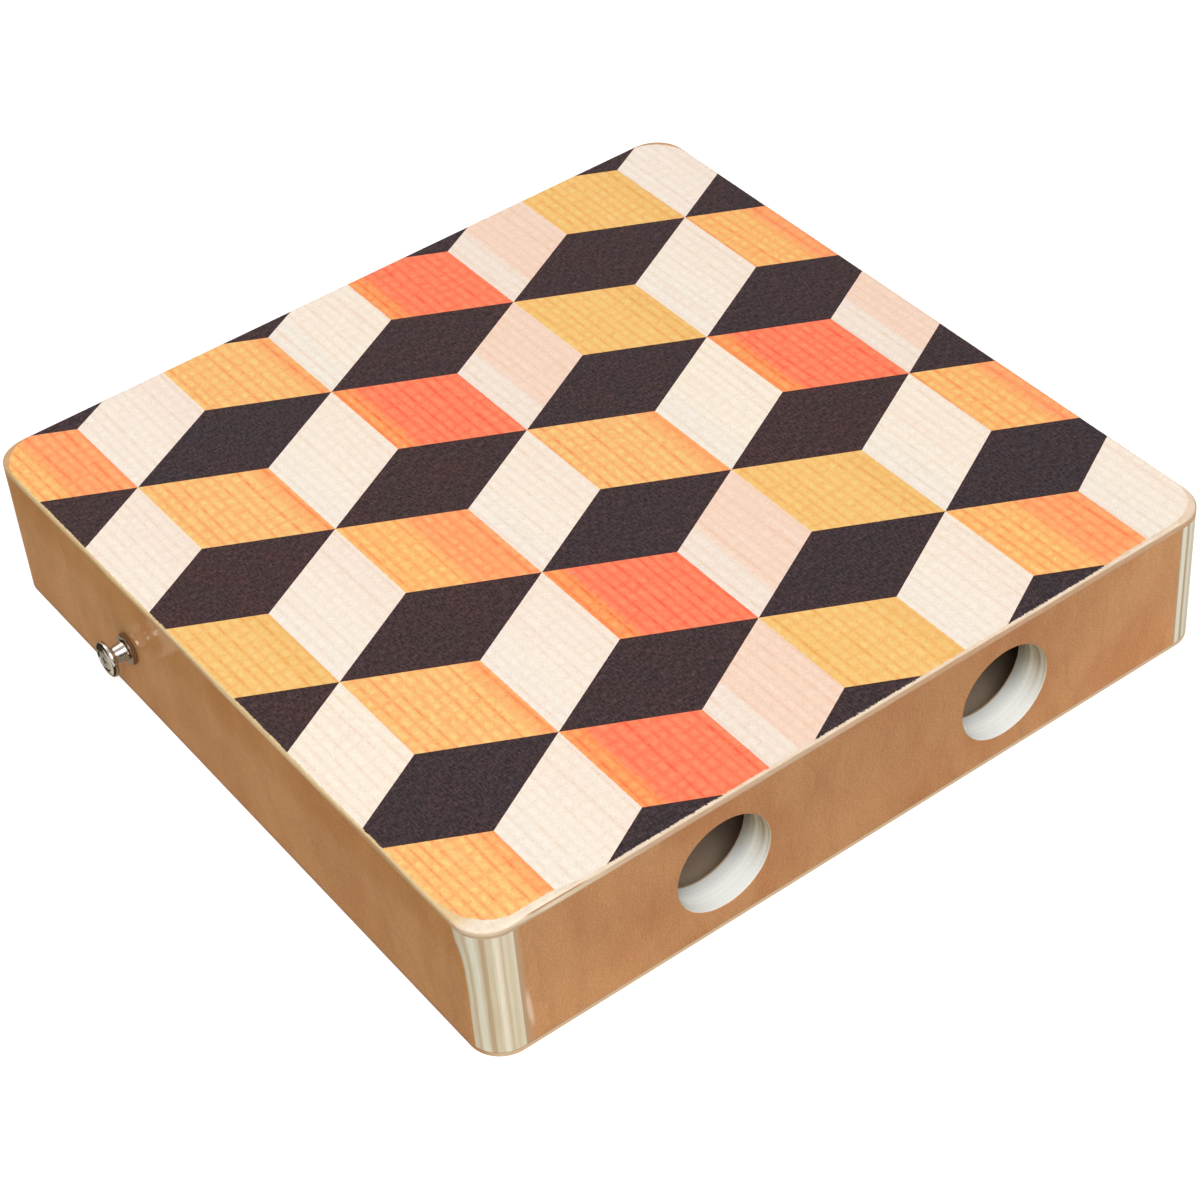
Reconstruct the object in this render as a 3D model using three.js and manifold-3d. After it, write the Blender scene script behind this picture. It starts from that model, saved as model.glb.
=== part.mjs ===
// Travel cajon: a shallow square box drum. A thin playing panel, the tapa, and a back panel close a frame of
// four plywood walls. The front wall has two sound holes, each side wall has a strap button, and four snare
// strings run under the tapa, from a rail on the front wall to two carriers. Bolts in the rear wall draw the
// carriers tight.
// Millimetres, +Z up, -Y to the front. The origin is the centre of the back panel's underside.

import * as THREE from "three";
import { mergeVertices } from "three/addons/utils/BufferGeometryUtils.js";
import Module from "manifold-3d";

const wasm = await Module();
wasm.setup();

// Case
const caseWidth = 300;
const caseDepth = 300;
const caseHeight = 57;
const cornerRadius = 12;
const wallThickness = 13.5;
const tapaThickness = 3;
const backThickness = 2;
const edgeRound = 1;
const tapaFaceCornerRadius = 16;

// Sound holes, halfway up the front wall
const soundHoleRadius = 18.4;
const soundHoleSpacing = 117;
const soundHoleRim = 0.4;

// Strap buttons, one on each side wall
const buttonBehindCentre = 62.5;
const buttonBelowMiddle = 3;
const buttonFlangeRadius = 6.7;
const buttonNeckRadius = 2.9;
const buttonNeckFootRadius = 3.8;
const buttonFootRound = 0.8;
const buttonNeckFlare = 1.8;
const buttonBaseRadius = 5.5;
const buttonBaseEdge = 0.8;
const buttonLength = 8.9;
const buttonFlangeEdge = 0.8;
const buttonCrownRound = 1.4;
const buttonWasherRadius = 6;
const buttonWasherThickness = 0.8;
const buttonScrewRadius = 1.9;
const buttonScrewHeadRadius = 3.6;
const buttonScrewHeadHeight = 2.2;
const buttonScrewWoodLeft = 3;
const crossRecessLength = 3.6;
const crossRecessWidth = 0.9;
const crossRecessDepth = 1.4;

// Snare strings, in two pairs
const stringRadius = 0.5;
const stringPairSpacing = 52;
const stringPitch = 12;
const stringBend = 2;
const ballEndRadius = 1.9;
const ballEndWaistRadius = 1.3;
const ballEndLength = 3.4;
const ballEndBoreRadius = 0.7;

// Rail that the strings hang on
const railDepth = 14;
const railHeight = 14;
const railEnd = 6;

// String carriers and their clamp screws
const carrierDepth = 12;
const carrierHeight = 16;
const carrierEdge = 4;
const clampScrewRadius = 1.5;
const clampScrewBelowTop = 5;
const clampScrewSocketWidth = 1.5;
const clampScrewSocketDepth = 1.6;

// Guide block that the carriers slide in
const guideWeb = 8;
const guideCheek = 7;
const guideFloor = 3.4;
const guideLength = 30;
const slideGap = 0.4;

// Tension bolts. The carriers rest between slack and tight
const boltRadius = 2.5;
const boltHeadRadius = 4.25;
const boltHeadHeight = 5;
const boltSocketWidth = 4;
const boltSocketDepth = 3;
const boltHeadRecess = 1;
const boltPastCarrier = 4.7;
const boltWasherRadius = 5;
const boltWasherThickness = 1;
const slackTravel = 4;
const tightTravel = 1.6;

// Gap between pieces that rest on or in each other
const fitGap = 0.3;

// Facets
const cornerSteps = 8;
const roundSteps = 3;
const bendSteps = 4;
const hexSides = 6;
const holeSides = 48;
const turnedSides = 32;
const boltSides = 24;
const smallSides = 12;
const stringSides = 8;

// How far a cutter reaches past the face that it opens
const cutPast = 2;

// Planes that the pieces share
const innerHalfWidth = caseWidth / 2 - wallThickness;
const innerHalfDepth = caseDepth / 2 - wallThickness;
const wallTop = caseHeight - tapaThickness;
const wallMiddle = (backThickness + wallTop) / 2;
const stringHeight = wallTop - fitGap - stringRadius;
const snareTop = stringHeight - stringRadius - fitGap;
const railMiddle = -innerHalfDepth + railDepth / 2;
const railBottom = snareTop - railHeight;
const carrierWidth = stringPitch + 2 * carrierEdge;
const carrierMiddle = innerHalfDepth - guideWeb - tightTravel - slideGap - fitGap - carrierDepth / 2;
const carrierFront = carrierMiddle - carrierDepth / 2;
const carrierBottom = snareTop - carrierHeight;
const boltHeight = snareTop - carrierHeight / 2;
const clampScrewHeight = snareTop - clampScrewBelowTop;
const boltSeat = caseDepth / 2 - boltHeadRecess - boltHeadHeight - boltWasherThickness - fitGap;
const boltEnd = carrierFront - slackTravel - boltPastCarrier;
const stringHoleRadius = stringRadius + fitGap;
const boltHoleRadius = boltRadius + fitGap;

const printedWood = new THREE.MeshStandardMaterial({ color: 0xf4dcc0, roughness: 0.5, metalness: 0 });
const plywood = new THREE.MeshStandardMaterial({ color: 0xb48559, roughness: 0.5, metalness: 0 });
const backPlywood = new THREE.MeshStandardMaterial({ color: 0xc9a57c, roughness: 0.6, metalness: 0 });
const hardwood = new THREE.MeshStandardMaterial({ color: 0xc79f6e, roughness: 0.6, metalness: 0 });
const chrome = new THREE.MeshStandardMaterial({ color: 0xe3e6e8, roughness: 0.08, metalness: 1 });
const felt = new THREE.MeshStandardMaterial({ color: 0x4a3016, roughness: 0.95, metalness: 0 });
const steel = new THREE.MeshStandardMaterial({ color: 0x8f9194, roughness: 0.35, metalness: 1 });
const blackSteel = new THREE.MeshStandardMaterial({ color: 0x2c2d30, roughness: 0.45, metalness: 1 });
const brass = new THREE.MeshStandardMaterial({ color: 0xc9a24c, roughness: 0.3, metalness: 1 });

const cajon = new THREE.Group();

/** Adds a named piece to a group. */
function addPiece(group, name, geometry, material) {
  const mesh = new THREE.Mesh(geometry, material);
  mesh.name = name;
  group.add(mesh);
  return mesh;
}

/** The solid that a closed geometry bounds. */
function solidOf(geometry) {
  const bare = geometry.clone();
  bare.deleteAttribute("normal");
  bare.deleteAttribute("uv");
  const merged = mergeVertices(bare);
  const vertProperties = merged.attributes.position.array;
  const triVerts = new Uint32Array(merged.index.array);
  return new wasm.Manifold(new wasm.Mesh({ numProp: 3, vertProperties, triVerts }));
}

/** The geometry of a solid's surface. */
function geometryOf(solid) {
  const { vertProperties, triVerts } = solid.getMesh();
  const geometry = new THREE.BufferGeometry();
  geometry.setAttribute("position", new THREE.BufferAttribute(vertProperties, 3));
  geometry.setIndex(new THREE.BufferAttribute(triVerts, 1));
  geometry.computeVertexNormals();
  return geometry;
}

/** A geometry with the space of the cutters taken out. */
function cut(geometry, cutters) {
  const start = solidOf(geometry);
  return geometryOf(cutters.reduce((solid, cutter) => solid.subtract(solidOf(cutter)), start));
}

/** A box between two corners. */
function boxBetween(low, high) {
  const size = high.map((value, axis) => value - low[axis]);
  const middle = high.map((value, axis) => (value + low[axis]) / 2);
  return new THREE.BoxGeometry(...size).translate(...middle);
}

/** A body turned about the Y axis from [radius, place on the axis] points that start and end on the axis. */
function turned(profile, sides) {
  return new THREE.LatheGeometry(profile.map(([radius, along]) => new THREE.Vector2(radius, along)), sides);
}

/** A ring turned about the Y axis from a closed outline of [radius, place on the axis] points. */
function turnedRing(outline, sides) {
  return turned([...outline, outline[0]], sides);
}

/** A flat washer about the Y axis. */
function turnedWasher(inner, outer, from, to) {
  return turnedRing([[inner, from], [outer, from], [outer, to], [inner, to]], turnedSides);
}

/** A plain rod along Y. */
function rodAlongY(radius, from, to, sides) {
  return turned([[0, from], [radius, from], [radius, to], [0, to]], sides);
}

/** A cutter along Y: a bore as far as its mouth, which a round opens, and a little past it. */
function flaredBore(radius, round, from, mouth, sides) {
  const way = Math.sign(mouth - from);
  const flare = Array.from({ length: roundSteps + 1 }, (_, step) => {
    const angle = (step / roundSteps) * (Math.PI / 2);
    return [radius + round * (1 - Math.cos(angle)), mouth - way * round * (1 - Math.sin(angle))];
  });
  const past = mouth + way * cutPast;
  const profile = [[0, from], [radius, from], ...flare, [radius + round, past], [0, past]];
  return turned(way > 0 ? profile : profile.reverse(), sides);
}

/** The cutter of one string's hole, along Z, its top edge rounded as the string bends. */
function stringHoleCutter(x, y, bottom) {
  const round = stringBend - stringHoleRadius;
  const bore = flaredBore(stringHoleRadius, round, bottom - cutPast, snareTop, smallSides);
  return bore.rotateX(Math.PI / 2).translate(x, y, 0);
}

/** A closed body through rings of points, each ring with the same count and in the same turn. */
function loft(rings) {
  const count = rings[0].length;
  const centre = (ring) => ring.reduce((sum, point) => sum.clone().add(point)).divideScalar(count);
  const points = [...rings.flat(), centre(rings[0]), centre(rings.at(-1))];
  const firstCentre = points.length - 2;
  const lastCentre = points.length - 1;
  const faces = [];
  for (let corner = 0; corner < count; corner += 1) {
    const next = (corner + 1) % count;
    for (let ring = 0; ring < rings.length - 1; ring += 1) {
      const low = ring * count;
      const high = low + count;
      faces.push(low + corner, low + next, high + next);
      faces.push(low + corner, high + next, high + corner);
    }
    const last = (rings.length - 1) * count;
    faces.push(firstCentre, next, corner);
    faces.push(lastCentre, last + corner, last + next);
  }
  const geometry = new THREE.BufferGeometry().setFromPoints(points);
  geometry.setIndex(faces);
  geometry.computeVertexNormals();
  return geometry;
}

/** The case's rounded outline with its own corner radius, moved in by an inset, anticlockwise from above. */
function caseOutline(inset, radius) {
  const centreX = caseWidth / 2 - inset - radius;
  const centreY = caseDepth / 2 - inset - radius;
  const signs = [[1, 1], [-1, 1], [-1, -1], [1, -1]];
  return signs.flatMap(([signX, signY], corner) =>
    Array.from({ length: cornerSteps + 1 }, (_, step) => {
      const angle = (corner + step / cornerSteps) * (Math.PI / 2);
      const x = signX * centreX + radius * Math.cos(angle);
      const y = signY * centreY + radius * Math.sin(angle);
      return new THREE.Vector2(x, y);
    }),
  );
}

/** A panel with the case's outline between two heights, rounded over to an outer face with its own corners. */
function roundedPanel(inner, outer, faceCornerRadius) {
  const way = Math.sign(outer - inner);
  const levels = [[0, inner]];
  for (let step = 0; step <= roundSteps; step += 1) {
    const angle = (step / roundSteps) * (Math.PI / 2);
    levels.push([1 - Math.cos(angle), outer - way * edgeRound * (1 - Math.sin(angle))]);
  }
  const rings = levels.map(([share, z]) => {
    const radius = THREE.MathUtils.lerp(cornerRadius, faceCornerRadius, share);
    return caseOutline(edgeRound * share, radius).map(({ x, y }) => new THREE.Vector3(x, y, z));
  });
  return loft(way > 0 ? rings : rings.reverse());
}

/** The share of the case's wall frame between two plan corners. */
function wallBetween(low, high) {
  const outline = new THREE.Shape(caseOutline(0, cornerRadius));
  const frame = new THREE.ExtrudeGeometry(outline, { depth: wallTop - backThickness, bevelEnabled: false });
  frame.translate(0, 0, backThickness);
  const slab = boxBetween([...low, backThickness - cutPast], [...high, wallTop + cutPast]);
  return geometryOf(solidOf(frame).intersect(solidOf(slab)));
}

/** The cutter of one sound hole: a bore through the front wall that a small round opens at the front face. */
function soundHoleCutter(x) {
  const inside = -innerHalfDepth + cutPast;
  const bore = flaredBore(soundHoleRadius, soundHoleRim, inside, -caseDepth / 2, holeSides);
  return bore.translate(x, 0, wallMiddle);
}

/** The cutter of one tension bolt's way through the rear wall, with the sinking for its head and washer. */
function boltWayCutter(x) {
  const face = caseDepth / 2 + cutPast;
  const sinking = Math.max(boltWasherRadius, boltHeadRadius) + fitGap;
  const floor = boltSeat - fitGap;
  const inside = innerHalfDepth - cutPast;
  const profile = [[0, inside], [boltHoleRadius, inside], [boltHoleRadius, floor]];
  profile.push([sinking, floor], [sinking, face], [0, face]);
  return turned(profile, boltSides).translate(x, 0, boltHeight);
}

/** Tapa, back panel and the rear and front walls. */
function buildCase() {
  addPiece(cajon, "tapa", roundedPanel(wallTop, caseHeight, tapaFaceCornerRadius), printedWood);
  addPiece(cajon, "back_panel", roundedPanel(backThickness, 0, cornerRadius - edgeRound), backPlywood);
  const half = caseDepth / 2 + cutPast;
  const front = wallBetween([-innerHalfWidth, -half], [innerHalfWidth, -innerHalfDepth]);
  const soundHoles = [-1, 1].map((side) => soundHoleCutter((side * soundHoleSpacing) / 2));
  addPiece(cajon, "front_wall", cut(front, soundHoles), plywood);
  const rear = wallBetween([-innerHalfWidth, innerHalfDepth], [innerHalfWidth, half]);
  const boltWays = [-1, 1].map((side) => boltWayCutter((side * stringPairSpacing) / 2));
  addPiece(cajon, "rear_wall", cut(rear, boltWays), plywood);
}

/** A side wall with the pilot hole of its strap button's screw. */
function buildSideWall(name, side) {
  const reachX = caseWidth / 2 + cutPast;
  const reachY = caseDepth / 2 + cutPast;
  const lowX = side < 0 ? -reachX : innerHalfWidth;
  const highX = side < 0 ? -innerHalfWidth : reachX;
  const wall = wallBetween([lowX, -reachY], [highX, reachY]);
  const depth = wallThickness - buttonScrewWoodLeft + fitGap;
  const pilot = rodAlongY(buttonScrewRadius + fitGap, -depth, cutPast, boltSides);
  pilot.rotateZ((-side * Math.PI) / 2);
  pilot.translate((side * caseWidth) / 2, buttonBehindCentre, wallMiddle - buttonBelowMiddle);
  addPiece(cajon, `${name}_wall`, cut(wall, [pilot]), plywood);
}

/** The outline of a strap button above its washer: base, tapered neck, flange and the screw's sunk seat. */
function buttonOutline() {
  const bore = buttonScrewRadius + fitGap;
  const seatMouth = buttonScrewHeadRadius + fitGap;
  const seatDepth = buttonScrewHeadHeight + fitGap;
  const crown = Math.min(buttonCrownRound, (buttonFlangeRadius - seatMouth) / 2);
  const widest = buttonLength - crown;
  const under = widest - buttonFlangeEdge;
  // The neck narrows on a straight line from its foot to the flange and is rounded into both
  const neckFoot = new THREE.Vector2(buttonNeckFootRadius, buttonBaseEdge);
  const neckEnd = new THREE.Vector2(buttonNeckRadius, under);
  const neckLength = neckFoot.distanceTo(neckEnd);
  const foot = new THREE.QuadraticBezierCurve(
    new THREE.Vector2(buttonNeckFootRadius + buttonFootRound, buttonBaseEdge),
    neckFoot,
    neckFoot.clone().lerp(neckEnd, buttonFootRound / neckLength),
  );
  const flare = new THREE.QuadraticBezierCurve(
    neckEnd.clone().lerp(neckFoot, buttonNeckFlare / neckLength),
    neckEnd,
    new THREE.Vector2(buttonNeckRadius + buttonNeckFlare, under),
  );
  const rim = new THREE.QuadraticBezierCurve(
    new THREE.Vector2(buttonFlangeRadius, widest),
    new THREE.Vector2(buttonFlangeRadius, buttonLength),
    new THREE.Vector2(buttonFlangeRadius - crown, buttonLength),
  );
  const points = (curve) => curve.getPoints(bendSteps).map(({ x, y }) => [x, y]);
  const base = [[bore, 0], [buttonBaseRadius, 0], [buttonBaseRadius, buttonBaseEdge]];
  const seat = [[seatMouth, buttonLength], [bore, buttonLength - seatDepth]];
  return [...base, ...points(foot), ...points(flare), [buttonFlangeRadius, under], ...points(rim), ...seat];
}

/** The screw of a strap button: a sunk head with a cross recess, a plain shank and a point. */
function buttonScrew(top, depth) {
  const neck = top - buttonScrewHeadHeight;
  const point = depth + 2 * buttonScrewRadius;
  const profile = [[0, depth], [buttonScrewRadius, point], [buttonScrewRadius, neck]];
  profile.push([buttonScrewHeadRadius, top], [0, top]);
  const low = top - crossRecessDepth;
  const long = crossRecessLength / 2;
  const short = crossRecessWidth / 2;
  const slots = [[long, short], [short, long]].map(([x, z]) =>
    boxBetween([-x, low, -z], [x, top + cutPast, z]),
  );
  return cut(turned(profile, turnedSides), slots);
}

/** A strap button with its washer and screw, standing out of a side wall. */
function buildStrapButton(name, side) {
  const group = new THREE.Group();
  group.position.set((side * caseWidth) / 2, buttonBehindCentre, wallMiddle - buttonBelowMiddle);
  group.rotation.z = (-side * Math.PI) / 2;
  cajon.add(group);
  const bore = buttonScrewRadius + fitGap;
  const washerTop = fitGap + buttonWasherThickness;
  const washer = turnedWasher(bore, buttonWasherRadius, fitGap, washerTop);
  addPiece(group, `strap_washer_${name}`, washer, felt);
  const button = addPiece(group, `strap_button_${name}`, turnedRing(buttonOutline(), turnedSides), chrome);
  button.position.y = washerTop;
  const screw = buttonScrew(washerTop + buttonLength, buttonScrewWoodLeft - wallThickness);
  addPiece(group, `strap_screw_${name}`, screw, steel);
}

/** The rail on the front wall, with a hole for each string. */
function buildRail(places) {
  const half = (stringPairSpacing + stringPitch) / 2 + railEnd;
  const low = [-half, -innerHalfDepth, railBottom];
  const high = [half, -innerHalfDepth + railDepth, snareTop];
  const holes = places.map((x) => stringHoleCutter(x, railMiddle, railBottom));
  addPiece(cajon, "string_rail", cut(boxBetween(low, high), holes), hardwood);
}

/** The guide block on the rear wall, with a channel for each carrier and a hole for each bolt. */
function buildGuide() {
  const channelHalf = carrierWidth / 2 + slideGap;
  const half = stringPairSpacing / 2 + channelHalf + guideCheek;
  const floor = carrierBottom - slideGap;
  const front = innerHalfDepth - guideLength;
  const web = innerHalfDepth - guideWeb;
  const block = boxBetween([-half, front, floor - guideFloor], [half, innerHalfDepth, snareTop]);
  const cutters = [-1, 1].flatMap((side) => {
    const x = (side * stringPairSpacing) / 2;
    const low = [x - channelHalf, front - cutPast, floor];
    const high = [x + channelHalf, web, snareTop + cutPast];
    const way = rodAlongY(boltHoleRadius, web - cutPast, innerHalfDepth + cutPast, boltSides);
    return [boxBetween(low, high), way.translate(x, 0, boltHeight)];
  });
  addPiece(cajon, "guide_block", cut(block, cutters), hardwood);
}

/** A string carrier: a steel block on the bolt, with holes for two strings and their clamp screws. */
function buildCarrier(name, x) {
  const half = carrierWidth / 2;
  const back = carrierMiddle + carrierDepth / 2;
  const block = boxBetween([x - half, carrierFront, carrierBottom], [x + half, back, snareTop]);
  const way = rodAlongY(boltHoleRadius, carrierFront - cutPast, back + cutPast, boltSides);
  const cutters = [way.translate(x, 0, boltHeight)];
  for (const place of [x - stringPitch / 2, x + stringPitch / 2]) {
    cutters.push(stringHoleCutter(place, carrierMiddle, carrierBottom));
    const clampHole = rodAlongY(clampScrewRadius + fitGap, carrierFront - cutPast, carrierMiddle, smallSides);
    cutters.push(clampHole.translate(place, 0, clampScrewHeight));
  }
  addPiece(cajon, `string_carrier_${name}`, cut(block, cutters), steel);
}

/** A tension bolt with a socket head, and the washer under the head. */
function buildBolt(name, x) {
  const washerTop = boltSeat + boltWasherThickness;
  const washer = turnedWasher(boltHoleRadius, boltWasherRadius, boltSeat, washerTop);
  addPiece(cajon, `bolt_washer_${name}`, washer.translate(x, 0, boltHeight), steel);
  const under = washerTop + fitGap;
  const top = under + boltHeadHeight;
  const profile = [[0, boltEnd], [boltRadius, boltEnd], [boltRadius, under], [boltHeadRadius, under]];
  profile.push([boltHeadRadius, top], [0, top]);
  const socketRadius = boltSocketWidth / Math.sqrt(3);
  const socket = rodAlongY(socketRadius, top - boltSocketDepth, top + cutPast, hexSides);
  const bolt = cut(turned(profile, boltSides), [socket]).translate(x, 0, boltHeight);
  addPiece(cajon, `tension_bolt_${name}`, bolt, blackSteel);
}

/** The bend of a string from one run into the next: points on a quarter circle in the plane of the string. */
function stringBendPoints(centreY, centreZ, fromAngle) {
  return Array.from({ length: bendSteps + 1 }, (_, step) => {
    const angle = fromAngle - (step / bendSteps) * (Math.PI / 2);
    return [centreY + stringBend * Math.cos(angle), centreZ + stringBend * Math.sin(angle)];
  });
}

/** A string: up through the rail, along under the tapa and down into its carrier. */
function stringGeometry(x, lowEnd, carrierEnd) {
  const bendZ = stringHeight - stringBend;
  const path = [
    [railMiddle, lowEnd],
    ...stringBendPoints(railMiddle + stringBend, bendZ, Math.PI),
    ...stringBendPoints(carrierMiddle - stringBend, bendZ, Math.PI / 2),
    [carrierMiddle, carrierEnd],
  ].map(([y, z]) => new THREE.Vector3(x, y, z));
  const rings = path.map((point, index) => {
    const before = path[Math.max(index - 1, 0)];
    const after = path[Math.min(index + 1, path.length - 1)];
    const along = after.clone().sub(before).normalize();
    const across = new THREE.Vector3(1, 0, 0);
    const normal = new THREE.Vector3().crossVectors(along, across);
    return Array.from({ length: stringSides }, (_, side) => {
      const angle = (side / stringSides) * 2 * Math.PI;
      const spoke = across.clone().multiplyScalar(stringRadius * Math.cos(angle));
      return spoke.addScaledVector(normal, stringRadius * Math.sin(angle)).add(point);
    });
  });
  return loft(rings);
}

/** A clamp screw in the carrier: a headless screw whose tip holds the string. */
function clampScrew() {
  const tip = carrierMiddle - stringRadius - fitGap;
  const socketRadius = clampScrewSocketWidth / Math.sqrt(3);
  const socketEnd = carrierFront + clampScrewSocketDepth;
  const socket = rodAlongY(socketRadius, carrierFront - cutPast, socketEnd, hexSides);
  return cut(rodAlongY(clampScrewRadius, carrierFront, tip, smallSides), [socket]);
}

/** A string with its ball end under the rail and its clamp screw in the carrier. */
function buildString(number, x) {
  const ballHeight = railBottom - fitGap - ballEndRadius;
  const lowEnd = ballHeight + ballEndWaistRadius + fitGap;
  addPiece(cajon, `snare_string_${number}`, stringGeometry(x, lowEnd, carrierBottom), steel);
  const half = ballEndLength / 2;
  const lip = half / 2;
  const spool = [[ballEndBoreRadius, -half], [ballEndRadius, -half], [ballEndRadius, -lip]];
  spool.push([ballEndWaistRadius, -lip / 2], [ballEndWaistRadius, lip / 2]);
  spool.push([ballEndRadius, lip], [ballEndRadius, half], [ballEndBoreRadius, half]);
  const ball = addPiece(cajon, `ball_end_${number}`, turnedRing(spool, smallSides), brass);
  ball.position.set(x, railMiddle, ballHeight);
  ball.rotation.z = Math.PI / 2;
  const screw = addPiece(cajon, `clamp_screw_${number}`, clampScrew(), blackSteel);
  screw.position.set(x, 0, clampScrewHeight);
}

const sides = [["left", -1], ["right", 1]];
const stringPlaces = sides.flatMap(([, side]) => {
  const pair = (side * stringPairSpacing) / 2;
  return [pair - stringPitch / 2, pair + stringPitch / 2];
});

buildCase();
for (const [name, side] of sides) {
  buildSideWall(name, side);
  buildStrapButton(name, side);
}
buildRail(stringPlaces);
buildGuide();
for (const [name, side] of sides) {
  buildCarrier(name, (side * stringPairSpacing) / 2);
  buildBolt(name, (side * stringPairSpacing) / 2);
}
stringPlaces.forEach((x, index) => buildString(index + 1, x));

export default cajon;
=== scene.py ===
"""Dresses the travel cajon: a printed tapa on a plywood case, with strap buttons and snare strings.

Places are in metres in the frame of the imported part: the origin is under the middle of the back panel,
+Z goes up through the tapa and -Y goes to the wall with the sound holes. Materials count in millimetres.
"""

import logging
import math
from collections.abc import Callable, Sequence
from dataclasses import dataclass
from enum import Enum
from typing import NamedTuple

import bmesh
import bpy
from mathutils import Matrix, Vector

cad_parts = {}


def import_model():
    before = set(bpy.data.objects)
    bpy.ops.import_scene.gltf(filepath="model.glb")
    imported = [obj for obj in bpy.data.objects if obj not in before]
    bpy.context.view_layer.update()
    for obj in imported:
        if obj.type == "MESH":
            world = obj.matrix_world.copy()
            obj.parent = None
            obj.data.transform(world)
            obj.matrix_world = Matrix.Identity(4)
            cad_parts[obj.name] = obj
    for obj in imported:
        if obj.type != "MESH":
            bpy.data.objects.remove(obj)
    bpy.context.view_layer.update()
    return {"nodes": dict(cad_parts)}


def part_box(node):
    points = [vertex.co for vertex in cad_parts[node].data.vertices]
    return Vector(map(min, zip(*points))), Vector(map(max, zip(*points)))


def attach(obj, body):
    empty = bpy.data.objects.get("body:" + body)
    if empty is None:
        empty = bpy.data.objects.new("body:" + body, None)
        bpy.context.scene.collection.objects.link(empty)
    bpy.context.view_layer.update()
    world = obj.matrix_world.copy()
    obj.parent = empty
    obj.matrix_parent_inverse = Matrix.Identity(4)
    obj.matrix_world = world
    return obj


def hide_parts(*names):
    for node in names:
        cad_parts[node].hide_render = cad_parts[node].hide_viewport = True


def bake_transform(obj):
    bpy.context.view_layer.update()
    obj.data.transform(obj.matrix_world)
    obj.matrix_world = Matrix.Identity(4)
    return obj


MM = 0.001
PER_METRE = 1000.0
LOG = logging.getLogger("travel_cajon")
FLOAT = "NodeSocketFloat"
VECTOR = "NodeSocketVector"
COLOUR = "NodeSocketColor"
SIDES = ("left", "right")
STRING_SIDES = {1: "left", 2: "left", 3: "right", 4: "right"}
SMOOTH_TO = 35.0
THREAD_SMOOTH_TO = 60.0
SOCKET_SMOOTH_TO = 20.0
HEX_SIDES = 6

Piece = bpy.types.Object
Socket = bpy.types.NodeSocket
Colour = tuple[float, float, float, float]
Outline = list[tuple[float, float]]
Wave = Callable[[float, float], float]


def srgb(red: int, green: int, blue: int) -> Colour:
    """Turns a colour written as 0 to 255 into the linear values that a shader takes.

    Args:
        red: Red, 0 to 255.
        green: Green, 0 to 255.
        blue: Blue, 0 to 255.

    Returns:
        The linear colour with full alpha.
    """
    linear = []
    for level in (red, green, blue):
        share = level / 255
        linear.append(share / 12.92 if share <= 0.04045 else ((share + 0.055) / 1.055) ** 2.4)
    return (*linear, 1.0)


class Field:
    """A value in a node tree that takes the signs of arithmetic, so that an effect reads like a sum."""

    def __init__(self, graph: "Graph", socket: Socket) -> None:
        """Keeps the socket that gives the value, and the graph that it lies in."""
        self.graph = graph
        self.socket = socket

    def __add__(self, other: "Value") -> "Field":
        """Returns this value plus another."""
        return self.graph.math("ADD", self, other)

    def __sub__(self, other: "Value") -> "Field":
        """Returns this value less another."""
        return self.graph.math("SUBTRACT", self, other)

    def __rsub__(self, other: "Value") -> "Field":
        """Returns a constant less this value."""
        return self.graph.math("SUBTRACT", other, self)

    def __mul__(self, other: "Value") -> "Field":
        """Returns this value times another."""
        return self.graph.math("MULTIPLY", self, other)

    def __truediv__(self, other: "Value") -> "Field":
        """Returns this value divided by another."""
        return self.graph.math("DIVIDE", self, other)

    def __rtruediv__(self, other: "Value") -> "Field":
        """Returns a constant divided by this value."""
        return self.graph.math("DIVIDE", other, self)

    def __abs__(self) -> "Field":
        """Returns this value without its sign."""
        return self.graph.math("ABSOLUTE", self)


Value = Field | Socket | float | tuple


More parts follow.
